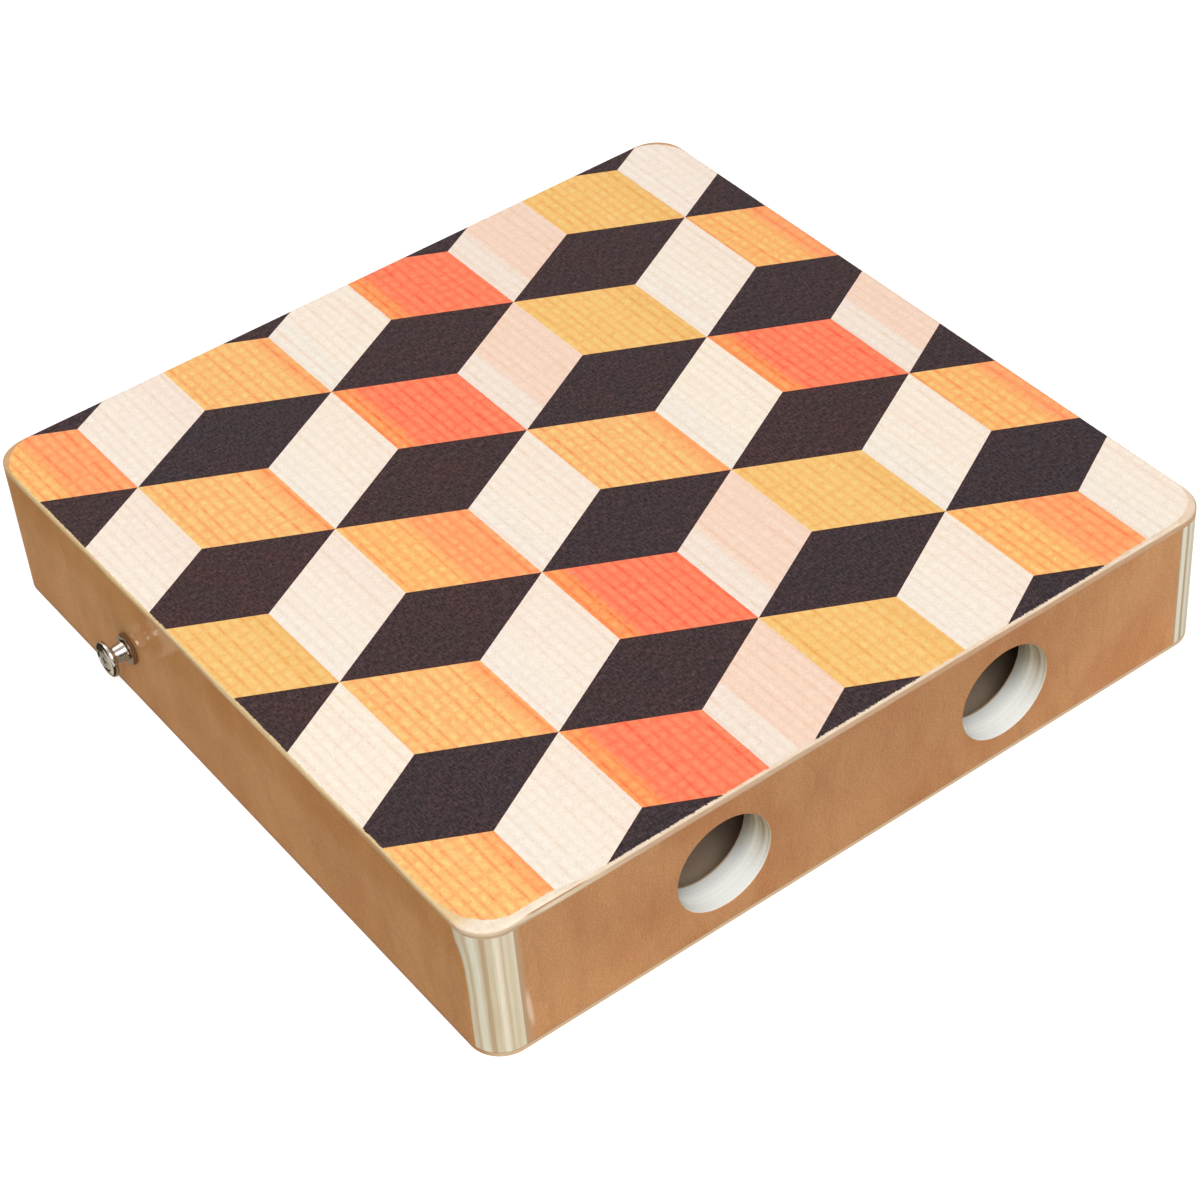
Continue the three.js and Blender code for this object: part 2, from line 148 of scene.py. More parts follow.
class Graph:
    """Adds nodes to one node tree and joins them."""

    def __init__(self, tree: bpy.types.NodeTree) -> None:
        """Starts on an existing tree."""
        self.tree = tree

    def node(self, kind: str, **settings: object) -> bpy.types.Node:
        """Adds a node of a kind with its settings."""
        node = self.tree.nodes.new(kind)
        for name, setting in settings.items():
            setattr(node, name, setting)
        return node

    def feed(self, socket: Socket, value: Value) -> None:
        """Links a socket to a value, or sets it where the value is a constant."""
        if isinstance(value, Field):
            self.tree.links.new(value.socket, socket)
        elif isinstance(value, Socket):
            self.tree.links.new(value, socket)
        else:
            socket.default_value = value

    def feed_all(self, node: bpy.types.Node, values: dict[str, Value]) -> None:
        """Feeds the inputs of a node by their names."""
        for name, value in values.items():
            self.feed(node.inputs[name], value)

    def math(self, operation: str, *values: Value) -> Field:
        """Adds a Math node and returns its result."""
        node = self.node("ShaderNodeMath", operation=operation)
        for socket, value in zip(node.inputs, values):
            self.feed(socket, value)
        return Field(self, node.outputs[0])

    def vector(self, operation: str, *values: Value) -> Field:
        """Adds a Vector Math node and returns its vector."""
        node = self.node("ShaderNodeVectorMath", operation=operation)
        for socket, value in zip(node.inputs, values):
            self.feed(socket, value)
        return Field(self, node.outputs[0])

    def length(self, value: Value) -> Field:
        """Returns the length of a vector."""
        node = self.node("ShaderNodeVectorMath", operation="LENGTH")
        self.feed(node.inputs[0], value)
        return Field(self, node.outputs["Value"])

    def scaled(self, value: Value, factor: float) -> Field:
        """Returns a vector times a number."""
        node = self.node("ShaderNodeVectorMath", operation="SCALE")
        self.feed(node.inputs[0], value)
        node.inputs["Scale"].default_value = factor
        return Field(self, node.outputs[0])

    def split(self, value: Value) -> tuple[Field, Field, Field]:
        """Returns the three parts of a vector."""
        node = self.node("ShaderNodeSeparateXYZ")
        self.feed(node.inputs[0], value)
        return tuple(Field(self, output) for output in node.outputs)

    def join(self, x: Value, y: Value, z: Value) -> Field:
        """Returns the vector of three parts."""
        node = self.node("ShaderNodeCombineXYZ")
        for socket, value in zip(node.inputs, (x, y, z)):
            self.feed(socket, value)
        return Field(self, node.outputs[0])

    def noise(self, place: Value, scale: float | tuple, detail: float = 2.0, rough: float = 0.5) -> Field:
        """Returns soft noise around one half.

        Args:
            place: Where the noise is read.
            scale: Cells per unit of the place, or a number of them for each axis.
            detail: Octaves.
            rough: How strong each further octave is.

        Returns:
            The noise value.
        """
        if isinstance(scale, tuple):
            return self.noise(self.vector("MULTIPLY", place, scale), 1.0, detail, rough)
        node = self.node("ShaderNodeTexNoise")
        self.feed_all(node, {"Vector": place, "Scale": scale, "Detail": detail, "Roughness": rough})
        return Field(self, node.outputs[0])

    def chance(self, place: Value) -> Field:
        """Returns a value from 0 to 1 that is fixed for each place."""
        node = self.node("ShaderNodeTexWhiteNoise", noise_dimensions="3D")
        self.feed(node.inputs["Vector"], place)
        return Field(self, node.outputs["Value"])

    def ease(self, value: Value, low: Value, high: Value, start: float = 0.0, end: float = 1.0) -> Field:
        """Returns a smooth step of a value.

        Args:
            value: What is mapped.
            low: Where the step begins.
            high: Where it ends.
            start: The result below the step.
            end: The result above it.

        Returns:
            The eased value.
        """
        node = self.node("ShaderNodeMapRange", interpolation_type="SMOOTHSTEP")
        for socket, given in zip(node.inputs, (value, low, high, start, end)):
            self.feed(socket, given)
        return Field(self, node.outputs[0])

    def mix(self, share: Value, first: Value, second: Value, blend: str = "MIX") -> Field:
        """Returns one colour laid over another by a share."""
        node = self.node("ShaderNodeMix", data_type="RGBA", blend_type=blend)
        self.feed(node.inputs[0], share)
        self.feed(node.inputs[6], first)
        self.feed(node.inputs[7], second)
        return Field(self, node.outputs[2])

    def shade(self, colour: Value, factor: Value) -> Field:
        """Returns a colour times a grey value."""
        return self.mix(1.0, colour, self.join(factor, factor, factor), "MULTIPLY")

    def ramp(self, value: Value, stops: Sequence[tuple[float, Colour]]) -> Field:
        """Returns the colour of a ramp at a value.

        Args:
            value: The place on the ramp, from 0 to 1.
            stops: Places and colours, in order.

        Returns:
            The colour.
        """
        node = self.node("ShaderNodeValToRGB")
        band = node.color_ramp
        while len(band.elements) < len(stops):
            band.elements.new(1.0)
        for element, (position, colour) in zip(band.elements, stops):
            element.position = position
            element.color = colour
        self.feed(node.inputs[0], value)
        return Field(self, node.outputs[0])

    def bump(self, height: Value, depth: float) -> Field:
        """Returns a normal that a height has disturbed, where a height of 1 is a depth in millimetres."""
        node = self.node("ShaderNodeBump")
        self.feed_all(node, {"Distance": depth * MM, "Height": height})
        return Field(self, node.outputs[0])


def blank_graph(owner: bpy.types.Material | bpy.types.World) -> Graph:
    """Empties the node tree of a material or a world and returns its graph."""
    owner.use_nodes = True
    owner.node_tree.nodes.clear()
    return Graph(owner.node_tree)


class Effect:
    """A shader node group that finishes share, with its named inputs and outputs."""

    name = "effect"
    inputs: dict[str, str] = {}
    outputs: dict[str, str] = {}

    def fill(self, graph: Graph, given: dict[str, Field]) -> dict[str, Field]:
        """Builds the inside of the group and returns its results by name."""
        raise NotImplementedError

    def tree(self) -> bpy.types.NodeTree:
        """Returns the group, which is built once."""
        found = bpy.data.node_groups.get(self.name)
        if found:
            return found
        tree = bpy.data.node_groups.new(self.name, "ShaderNodeTree")
        for name, kind in self.inputs.items():
            tree.interface.new_socket(name, in_out="INPUT", socket_type=kind)
        for name, kind in self.outputs.items():
            tree.interface.new_socket(name, in_out="OUTPUT", socket_type=kind)
        graph = Graph(tree)
        source = graph.node("NodeGroupInput")
        drain = graph.node("NodeGroupOutput")
        results = self.fill(graph, {name: Field(graph, source.outputs[name]) for name in self.inputs})
        for name, result in results.items():
            graph.feed(drain.inputs[name], result)
        return tree

    def on(self, graph: Graph, *values: Value) -> list[Field]:
        """Places the group in a material.

        Args:
            graph: The material's graph.
            values: The inputs, in order.

        Returns:
            The outputs, in order.
        """
        node = graph.node("ShaderNodeGroup", node_tree=self.tree())
        for name, value in zip(self.inputs, values):
            graph.feed(node.inputs[name], value)
        return [Field(graph, node.outputs[name]) for name in self.outputs]


class FramePlace(Effect):
    """The place on the piece in the part's own frame, in millimetres."""

    name = "Place in millimetres"
    outputs = {"Place": VECTOR}

    def fill(self, graph: Graph, given: dict[str, Field]) -> dict[str, Field]:
        """Scales the object's own coordinates."""
        source = graph.node("ShaderNodeTexCoord")
        return {"Place": graph.scaled(source.outputs["Object"], PER_METRE)}


class GrainSize(NamedTuple):
    """How coarse the figure of a wood is, in millimetres."""

    fibre_length: float
    fibre_width: float
    cloud: float


class WoodFigure(Effect):
    """Fibres, open pores and a cloudy figure, with the grain along Z."""

    name = "Wood figure"
    inputs = {
        "Place": VECTOR,
        "Fibre length": FLOAT,
        "Fibre width": FLOAT,
        "Cloud size": FLOAT,
    }
    outputs = {"Fibre": FLOAT, "Pore": FLOAT, "Cloud": FLOAT}
    pore_low = 0.58
    pore_high = 0.72
    cloud_stretch = 0.45

    def fill(self, graph: Graph, given: dict[str, Field]) -> dict[str, Field]:
        """Reads the same noise at three sizes."""
        across = 1.0 / given["Fibre width"]
        along = 1.0 / given["Fibre length"]
        thread = graph.vector("MULTIPLY", given["Place"], graph.join(across, across, along))
        cloud = 1.0 / given["Cloud size"]
        drift = cloud * self.cloud_stretch
        patch = graph.vector("MULTIPLY", given["Place"], graph.join(cloud, cloud, drift))
        pores = graph.noise(graph.vector("ADD", thread, (31.0, 17.0, 5.0)), 0.8, 1.0)
        return {
            "Fibre": graph.noise(thread, 1.0, 4.0, 0.6),
            "Pore": graph.ease(pores, self.pore_low, self.pore_high),
            "Cloud": graph.noise(patch, 1.0, 3.0, 0.55),
        }


class OutlineDepth(Effect):
    """How far inside the rounded outline of the case a place is, seen from above."""

    name = "Depth inside the outline"
    inputs = {"Place": VECTOR, "Half side": FLOAT, "Corner": FLOAT}
    outputs = {"Depth": FLOAT}

    def fill(self, graph: Graph, given: dict[str, Field]) -> dict[str, Field]:
        """Measures from the corner's centre where the outline is round, and from the sides elsewhere."""
        x, y, _ = graph.split(given["Place"])
        straight = given["Half side"] - given["Corner"]
        past_x = abs(x) - straight
        past_y = abs(y) - straight
        corner = graph.join(graph.math("MAXIMUM", past_x, 0.0), graph.math("MAXIMUM", past_y, 0.0), 0.0)
        inside = graph.math("MINIMUM", graph.math("MAXIMUM", past_x, past_y), 0.0)
        outward = graph.length(corner) + inside
        return {"Depth": given["Corner"] - outward}


class PlyTone(Enum):
    """The look of a bare ply on a cut or sanded edge."""

    WHITE = srgb(222, 216, 193)
    CREAM = srgb(227, 217, 191)
    PALE = srgb(216, 204, 175)
    TAN = srgb(205, 191, 160)
    DULL = srgb(199, 179, 147)
    BROWN = srgb(189, 164, 131)
    DARK = srgb(172, 143, 110)


class PlyStack(Effect):
    """The bare plies of a wall by depth below its outer face, with fine hairlines along them."""

    name = "Ply stack"
    inputs = {"Depth": FLOAT, "Place": VECTOR, "Painted light": FLOAT}
    outputs = {"Colour": COLOUR}
    thickness = 13.5
    wobble = 0.4
    # Painted light: the near white that the plies are mixed towards where the bore is painted as brightly
    # lit.
    painted_light_tone = srgb(254, 255, 250)
    hairline_gap = 0.55
    hairline_strength = 0.17
    grain = GrainSize(11.0, 0.3, 14.0)
    plies = (
        (0.0, 0.75, PlyTone.PALE),
        (1.0, 1.1, PlyTone.DULL),
        (1.55, 2.35, PlyTone.WHITE),
        (3.3, 4.0, PlyTone.BROWN),
        (4.5, 5.6, PlyTone.TAN),
        (6.8, 7.5, PlyTone.CREAM),
        (8.7, 9.0, PlyTone.DULL),
        (9.5, 9.7, PlyTone.PALE),
        (10.4, 11.2, PlyTone.TAN),
        (12.0, 12.9, PlyTone.PALE),
        (13.3, 13.5, PlyTone.BROWN),
    )

    def fill(self, graph: Graph, given: dict[str, Field]) -> dict[str, Field]:
        """Looks the depth up in the stack and streaks each ply along its length."""
        stops = []
        for start, end, tone in self.plies:
            stops.append((start / self.thickness, tone.value))
            stops.append((end / self.thickness, tone.value))
        sway = graph.noise(given["Place"], 0.035) - 0.5
        depth = sway * self.wobble + given["Depth"]
        colour = graph.ramp(depth / self.thickness, stops)
        # Painted light: the plies are mixed towards near white where the bore is painted as lit.
        colour = graph.mix(given["Painted light"], colour, self.painted_light_tone)
        wander = sway * 2.0 + depth / self.hairline_gap
        off = abs(graph.math("FRACT", wander) - 0.5)
        number = graph.join(graph.math("FLOOR", wander), 4.0, 9.0)
        strength = graph.ease(graph.chance(number), 0.2, 1.0, 0.0, self.hairline_strength)
        hairline = graph.ease(off, 0.02, 0.20, 1.0, 0.0) * strength
        fibre = WoodFigure().on(graph, given["Place"], *self.grain)[0]
        colour = graph.shade(colour, 1.0 - hairline)
        return {"Colour": graph.shade(colour, graph.ease(fibre, 0.3, 0.7, 0.94, 1.05))}


class RightPlyStack(PlyStack):
    """The plies of the right wall, which is cut from another sheet."""

    name = "Ply stack of the right wall"
    plies = (
        (0.0, 1.2, PlyTone.PALE),
        (1.9, 2.2, PlyTone.DULL),
        (3.4, 4.4, PlyTone.PALE),
        (5.8, 7.3, PlyTone.TAN),
        (8.4, 8.9, PlyTone.WHITE),
        (9.7, 9.9, PlyTone.DULL),
        (10.2, 10.5, PlyTone.DARK),
        (11.1, 12.6, PlyTone.WHITE),
        (13.2, 13.5, PlyTone.BROWN),
    )


class Handling(Effect):
    """Fine scratches and smears from use, as a value around one half."""

    name = "Handling"
    inputs = {"Place": VECTOR, "Size": FLOAT}
    outputs = {"Smear": FLOAT, "Scratch": FLOAT}

    def fill(self, graph: Graph, given: dict[str, Field]) -> dict[str, Field]:
        """Lays a soft smear and a stretched scratch noise."""
        share = 1.0 / given["Size"]
        place = graph.vector("MULTIPLY", given["Place"], graph.join(share, share, share))
        lines = graph.vector("MULTIPLY", place, (1.0, 14.0, 14.0))
        return {"Smear": graph.noise(place, 1.0, 3.0, 0.6), "Scratch": graph.noise(lines, 2.0, 2.0, 0.6)}


class TileHue(Enum):
    """The hues of the coloured tiles, in the order in which they follow each other along a row."""

    AMBER = 0
    RED = 1
    YELLOW = 2
    ORANGE = 3


@dataclass(frozen=True)
class TileTone:
    """How a tile is printed: two tones side by side that meet along the grain."""

    left: Colour
    right: Colour
    seam: float
    blur: float

    def colour(self, graph: Graph, across: Value) -> Field:
        """Returns the tile's colour by the place across it, from 0 to 1."""
        turned = graph.ease(across, self.seam - self.blur, self.seam + self.blur)
        return graph.mix(turned, self.left, self.right)


class PrintGrain(Effect):
    """The grain in the print: dark lines along Y, fainter bands across, fibres and pale blobs."""

    name = "Print grain"
    inputs = {"Place": VECTOR}
    outputs = {"Lines": FLOAT, "Fibre": FLOAT, "Blob": FLOAT}
    line_gap = 3.9
    band_gap = 4.8
    band_strength = 0.42

    def ridge(self, graph: Graph, phase: Value, sharpness: float) -> Field:
        """Returns a soft wave that is 1 on the lines of a phase and 0 between them."""
        turn = phase * 2.0 * math.pi
        wave = graph.math("COSINE", turn) * 0.5 + 0.5
        return graph.math("POWER", wave, sharpness)

    def fill(self, graph: Graph, given: dict[str, Field]) -> dict[str, Field]:
        """Draws both sets of lines with uneven strength, and the blobs between them."""
        place = given["Place"]
        x, y, _ = graph.split(place)
        wander = graph.noise(place, (0.05, 0.008, 0.0), 2.0)
        phase = wander * 1.5 + x / self.line_gap
        number = graph.math("ROUND", phase)
        chance = graph.chance(graph.join(number, 1.0, 0.0))
        step = graph.join(number * 0.73, y * 0.22, 2.0)
        broken = graph.noise(step, 1.0, 3.0, 0.7)
        long = self.ridge(graph, phase, 4.0) * graph.ease(chance, 0.0, 1.0, 0.4, 1.0)
        long = long * graph.ease(broken, 0.34, 0.64, 0.2, 1.0)
        sway = graph.noise(place, (0.07, 0.05, 0.0), 3.0, 0.6)
        rise = sway * 1.8 + y / self.band_gap
        patch = graph.noise(place, (0.24, 0.20, 0.0), 3.0, 0.65)
        band = self.ridge(graph, rise, 2.0) * graph.ease(patch, 0.40, 0.64, 1.0, 0.0)
        band = band * self.band_strength
        spot = graph.noise(place, (0.34, 0.26, 0.0), 4.0, 0.7)
        between = 1.0 - self.ridge(graph, phase, 1.0)
        blob = between * graph.ease(spot, 0.38, 0.66)
        return {
            "Lines": graph.math("MAXIMUM", long, band),
            "Fibre": graph.noise(place, (2.6, 0.9, 0.0), 4.0, 0.8),
            "Blob": blob,
        }


class TumblingBlocks(Effect):
    """The printed pattern: rhombic tiles that read as stacked blocks."""

    name = "Tumbling blocks"
    inputs = {"Place": VECTOR}
    outputs = {"Colour": COLOUR, "Dark": FLOAT}
    block_width = 80.4
    row_height = 64.29
    first_x = -119.4
    first_y = 98.5
    row_shift = {-1: 3, 0: 0, 1: 3, 2: 1, 3: 2}
    ragged = 0.3
    tones = {
        TileHue.AMBER: TileTone(srgb(247, 188, 116), srgb(249, 170, 104), 0.86, 0.04),
        TileHue.RED: TileTone(srgb(250, 156, 92), srgb(253, 130, 92), 0.16, 0.03),
        TileHue.YELLOW: TileTone(srgb(246, 194, 116), srgb(243, 190, 112), 0.80, 0.10),
        TileHue.ORANGE: TileTone(srgb(249, 184, 110), srgb(252, 162, 104), 0.50, 0.05),
    }
    ivory = TileTone(srgb(244, 235, 221), srgb(249, 236, 217), 0.28, 0.08)
    rosy = TileTone(srgb(247, 233, 219), srgb(246, 228, 213), 0.60, 0.20)
    pink = TileTone(srgb(244, 228, 213), srgb(246, 214, 192), 0.30, 0.04)
    black_cool = srgb(49, 39, 42)
    black_warm = srgb(62, 40, 39)
    fringe = srgb(74, 24, 30)
    line_on_hue = (0.98, 0.55, 0.46, 1.0)
    line_on_red = (0.98, 0.44, 0.38, 1.0)
    line_on_yellow = (0.90, 0.70, 0.50, 1.0)
    line_on_pale = (0.935, 0.845, 0.775, 1.0)
    glow_on_hue = (1.0, 1.30, 1.32, 1.0)
    glow_on_yellow = (1.0, 1.17, 1.34, 1.0)
    blush = srgb(247, 224, 209)

    def same(self, graph: Graph, value: Value, whole: float) -> Field:
        """Returns 1 where a value equals a given whole number, and 0 elsewhere."""
        return graph.math("COMPARE", value, whole, 0.5)

    def fill(self, graph: Graph, given: dict[str, Field]) -> dict[str, Field]:
        """Finds the tile that a place lies on and prints it in the tile's hue."""
        fray = graph.noise(given["Place"], 1.6, 2.0) - 0.5
        x, y, _ = graph.split(given["Place"])
        x = fray * self.ragged + x
        column = (x - self.first_x) / self.block_width
        row = (self.first_y - y) / self.row_height
        skew = row * -0.5 + column
        i, j = graph.math("FLOOR", skew), graph.math("FLOOR", row)
        part_i, part_j = graph.math("FRACT", skew), graph.math("FRACT", row)
        total = part_i + part_j
        upper = graph.math("GREATER_THAN", total, 1.0)
        to_pale = abs(total - 1.0)
        to_hue = abs(part_i - upper)
        to_black = abs(part_j - upper)
        inside = graph.math("MINIMUM", to_hue, to_pale) - to_black
        is_black = graph.math("GREATER_THAN", inside, 0.0)
        is_hue = graph.math("LESS_THAN", to_hue, to_pale)
        shift: Value = 0.0
        for number, places in self.row_shift.items():
            shift = self.same(graph, j, number) * float(places) + shift
        count = float(len(TileHue))
        tile = i + upper
        hue = graph.math("FLOORED_MODULO", tile + shift, count)
        beside = graph.math("FLOORED_MODULO", i + shift, count)
        lines, fibre, blob = PrintGrain().on(graph, given["Place"])
        across = (column - (j * 0.5 + tile)) * 2.0
        coloured = self.print_hue(graph, hue, across, blob)
        start = j * 0.5 + i + 0.5
        across = (column - start) * 2.0
        pale = self.print_pale(graph, beside, across, graph.chance(graph.join(i, j, 3.0)))
        streak = graph.noise(given["Place"], (0.30, 0.012, 0.0), 3.0, 0.7)
        pale = graph.mix(graph.ease(streak, 0.50, 0.68, 0.0, 0.55), pale, self.blush)
        pale = graph.shade(pale, graph.ease(blob, 0.0, 0.9, 0.985, 1.035))
        plain = graph.mix(is_hue, pale, coloured)
        is_yellow = self.same(graph, hue, float(TileHue.YELLOW.value))
        is_red = self.same(graph, hue, float(TileHue.RED.value))
        line = graph.mix(is_yellow, self.line_on_hue, self.line_on_yellow)
        line = graph.mix(is_red, line, self.line_on_red)
        tint = graph.mix(is_hue, self.line_on_pale, line)
        plain = graph.mix(lines, plain, graph.mix(1.0, plain, tint, "MULTIPLY"))
        black = self.print_black(graph, skew, row, inside, given["Place"])
        colour = graph.mix(is_black, plain, black)
        return {"Colour": graph.shade(colour, graph.ease(fibre, 0.25, 0.75, 0.88, 1.12)), "Dark": is_black}

    def print_hue(self, graph: Graph, hue: Value, across: Value, blob: Value) -> Field:
        """Returns the colour of the coloured tiles, paler in the blobs of the grain.

        Args:
            graph: The group's graph.
            hue: The number of the tile's hue.
            across: The place across the tile, from 0 to 1.
            blob: The blobs of the grain.

        Returns:
            The colour.
        """
        stray = (blob - 0.3) * 0.09 + across
        colour: Value = (0.0, 0.0, 0.0, 1.0)
        for name, tone in self.tones.items():
            colour = graph.mix(self.same(graph, hue, float(name.value)), colour, tone.colour(graph, stray))
        is_yellow = self.same(graph, hue, float(TileHue.YELLOW.value))
        glow = graph.mix(1.0, colour, graph.mix(is_yellow, self.glow_on_hue, self.glow_on_yellow), "MULTIPLY")
        return graph.mix(blob, colour, glow)

    def print_pale(self, graph: Graph, beside: Value, across: Value, chance: Value) -> Field:
        """Returns the colour of the pale tiles: pinker beside a red tile, ivory or rosy elsewhere.

        Args:
            graph: The group's graph.
            beside: The hue of the tile to the left.
            across: The place across the tile, from 0 to 1.
            chance: A value that is fixed for each tile.

        Returns:
            The colour.
        """
        own = graph.mix(chance, self.ivory.colour(graph, across), self.rosy.colour(graph, across))
        beside_red = self.same(graph, beside, float(TileHue.RED.value))
        return graph.mix(beside_red, own, self.pink.colour(graph, across))

    def print_black(self, graph: Graph, skew: Value, row: Value, inside: Value, place: Value) -> Field:
        """Returns the colour of the dark tiles, mottled and flecked along the grain, with a red fringe.

        Args:
            graph: The group's graph.
            skew: The place along the slanted lattice.
            row: The place down the rows.
            inside: How far inside the tile the place is, in lattice units.
            place: The place on the panel in millimetres.

        Returns:
            The colour.
        """
        tile = graph.chance(graph.join(graph.math("FLOOR", skew), graph.math("ROUND", row), 7.0))
        patch = graph.noise(place, (0.07, 0.05, 0.0), 3.0, 0.6)
        warm = tile * 0.6 + graph.ease(patch, 0.35, 0.65, 0.0, 0.35)
        colour = graph.mix(warm, self.black_cool, self.black_warm)
        fleck = graph.noise(place, (1.3, 0.45, 0.0), 4.0, 0.8)
        cross = graph.noise(place, (0.25, 1.1, 0.0), 3.0, 0.7)
        colour = graph.shade(colour, graph.ease(fleck, 0.32, 0.68, 0.25, 1.95))
        colour = graph.shade(colour, graph.ease(cross, 0.30, 0.70, 0.62, 1.40))
        return graph.mix(graph.ease(inside, 0.0, 0.022, 0.5, 0.0), colour, self.fringe)


class Finish:
    """A finish of the object: one material made of nodes."""

    name: str

    def paint(self, graph: Graph, shader: bpy.types.Node) -> None:
        """Sets the shader's sockets."""
        raise NotImplementedError

    def material(self) -> bpy.types.Material:
        """Returns the material, which is built once."""
        found = bpy.data.materials.get(self.name)
        if found:
            return found
        material = bpy.data.materials.new(self.name)
        graph = blank_graph(material)
        shader = graph.node("ShaderNodeBsdfPrincipled")
        drain = graph.node("ShaderNodeOutputMaterial")
        graph.tree.links.new(shader.outputs[0], drain.inputs[0])
        self.paint(graph, shader)
        return material


@dataclass(frozen=True)
class PrintedPanel(Finish):
    """The tapa: the print up to a frayed margin, and three bare plies round the edge."""

    half_side: float
    corner: float
    top: float
    name: str = "tumbling_blocks_print"
    margin: float = 0.55
    front_margin: float = 0.35
    right_margin: float = 0.8
    white_margin: float = 2.4
    fray: float = 1.3
    tooth: float = 1.3
    bare: Colour = srgb(229, 199, 149)
    bare_rear: Colour = srgb(209, 165, 117)
    bare_front: Colour = srgb(231, 209, 183)
    # Painted highlight: the paler corner tones stand in for the light that the rounded lip catches at the
    # near corner.
    bare_corner_lit: Colour = srgb(243, 226, 202)
    middle_left: Colour = srgb(216, 191, 159)
    middle_corner_lit: Colour = srgb(212, 188, 157)
    middle_white: Colour = srgb(224, 204, 174)
    middle: Colour = srgb(201, 169, 140)
    middle_right: Colour = srgb(194, 154, 117)
    low: Colour = srgb(184, 143, 106)
    low_left: Colour = srgb(197, 157, 111)
    low_corner_lit: Colour = srgb(188, 162, 130)
    core: Colour = srgb(178, 136, 108)
    core_place: float = -121.0
    rough: float = 0.56
    rough_on_black: float = 0.08
    gloss: float = 0.22
    grain: GrainSize = GrainSize(6.0, 0.4, 25.0)
    grain_depth: float = 0.03
    pore_share: float = -0.5

    def edge(self, graph: Graph, place: Value, front: Value, near: Value, white: Value) -> Field:
        """Returns the colour of the bare edge: upper veneer, middle ply and lower veneer by the depth.

        Args:
            graph: The material's graph.
            place: The place in millimetres.
            front: 1 along the front edge, 0 elsewhere.
            near: 1 at the near left corner, 0 elsewhere.
            white: 1 along the pale stretch of the front edge beside that corner, 0 elsewhere.

        Returns:
            The colour.
        """
        x, y, z = graph.split(place)
        sway = graph.noise(place, 0.03, 3.0) - 0.5
        below = sway * 0.6 + self.top - z
        slow = graph.noise(place, (0.0, 0.014, 0.0), 2.0)
        side = self.half_side
        left = graph.ease(x, -side + 3.0, -side + 12.0, 1.0, 0.0) * graph.ease(y, -side + 6.0, -side + 14.0)
        rear = graph.ease(y, side - 26.0, side - 12.0)
        upper = graph.mix(rear, graph.mix(left, self.bare_front, self.bare), self.bare_rear)
        # Painted highlight: the upper ply is paler at the near corner, where the rounded lip catches the
        # light, and the same tone runs along the pale stretch beside it.
        pale = graph.math("MAXIMUM", near, white)
        upper = graph.mix(pale, upper, self.bare_corner_lit)
        right = graph.ease(x, -30.0, 60.0)
        patch = graph.noise(place, (0.03, 0.03, 0.0), 2.0)
        right = graph.ease(patch, 0.40, 0.60, -0.25, 0.25) * front + right
        middle = graph.mix(graph.ease(x, -112.0, -85.0, 1.0, 0.0), self.middle, self.middle_left)
        middle = graph.mix(white, graph.mix(right, middle, self.middle_right), self.middle_white)
        # Painted highlight: the middle and lower plies are paler at the near corner too.
        middle = graph.mix(near, middle, self.middle_corner_lit)
        low = graph.mix(near, graph.mix(left, self.low, self.low_left), self.low_corner_lit)
        late = left * graph.ease(slow, 0.38, 0.62, 0.0, 1.4)
        start = late + 0.30
        turned = graph.ease(below, start, left * 0.9 + 0.65 + start)
        colour = graph.mix(turned, upper, graph.mix(left, middle, low))
        early = near * -0.9 + 2.25 + late * 0.6
        colour = graph.mix(graph.ease(below - early, 0.0, 0.7), colour, low)
        off = abs(x - self.core_place)
        beside = graph.ease(off, 8.0, 13.0, 0.95, 0.0) * front
        level = abs(below - 0.55)
        colour = graph.mix(graph.ease(level, 0.15, 0.4, 1.0, 0.0) * beside, colour, self.core)
        streak = graph.noise(place, (0.25, 0.25, 1.6), 4.0, 0.7)
        return graph.shade(colour, graph.ease(streak, 0.3, 0.7, 0.90, 1.07))

    def paint(self, graph: Graph, shader: bpy.types.Node) -> None:
        """Prints the top and leaves the edge bare."""
        place = FramePlace().on(graph)[0]
        x, y, z = graph.split(place)
        printed, dark = TumblingBlocks().on(graph, place)
        depth = OutlineDepth().on(graph, place, self.half_side, self.corner)[0]
        side = self.half_side
        front = graph.ease(y, -side + 2.0, -side + 8.0, 1.0, 0.0)
        near = graph.ease(x, -side + 8.0, -side + 30.0, 1.0, 0.0)
        near = near * graph.ease(y, -side + 6.0, -side + 26.0, 1.0, 0.0)
        fringe = graph.noise(place, (0.9, 0.7, 0.0), 4.0, 0.7)
        margin = (fringe - 0.5) * self.fray + self.margin
        threads = graph.noise(place, (1.5, 0.9, 0.0), 2.0, 0.7)
        fine = (threads - 0.5) * 1.4 + self.front_margin
        fine = fine + graph.ease(x, 92.0, 118.0, 0.0, self.right_margin)
        margin = front * fine + margin
        teeth = graph.noise(place, (1.1, 0.4, 0.0), 2.0)
        torn = (teeth - 0.5) * self.tooth + self.white_margin
        white = graph.ease(x, -124.0, -108.0, 1.0, 0.0) * front
        margin = graph.math("MAXIMUM", white, near) * torn + margin
        inked = graph.ease(depth - margin, -0.15, 0.25)
        corner = near * graph.ease(y, -side + 5.0, -side + 12.0, 1.0, 0.0)
        edge = self.edge(graph, place, front, corner, white)
        fibre, pore, _ = WoodFigure().on(graph, graph.join(x, z, y), *self.grain)
        graph.feed_all(shader, {
            "Base Color": graph.mix(inked, edge, printed),
            "Roughness": dark * self.rough_on_black + self.rough,
            "Normal": graph.bump(pore * self.pore_share + fibre, self.grain_depth),
            "Specular IOR Level": self.gloss,
        })


class WallAxis(Enum):
    """Which way a wall's plies are stacked."""

    ACROSS = "x"
    ALONG = "y"


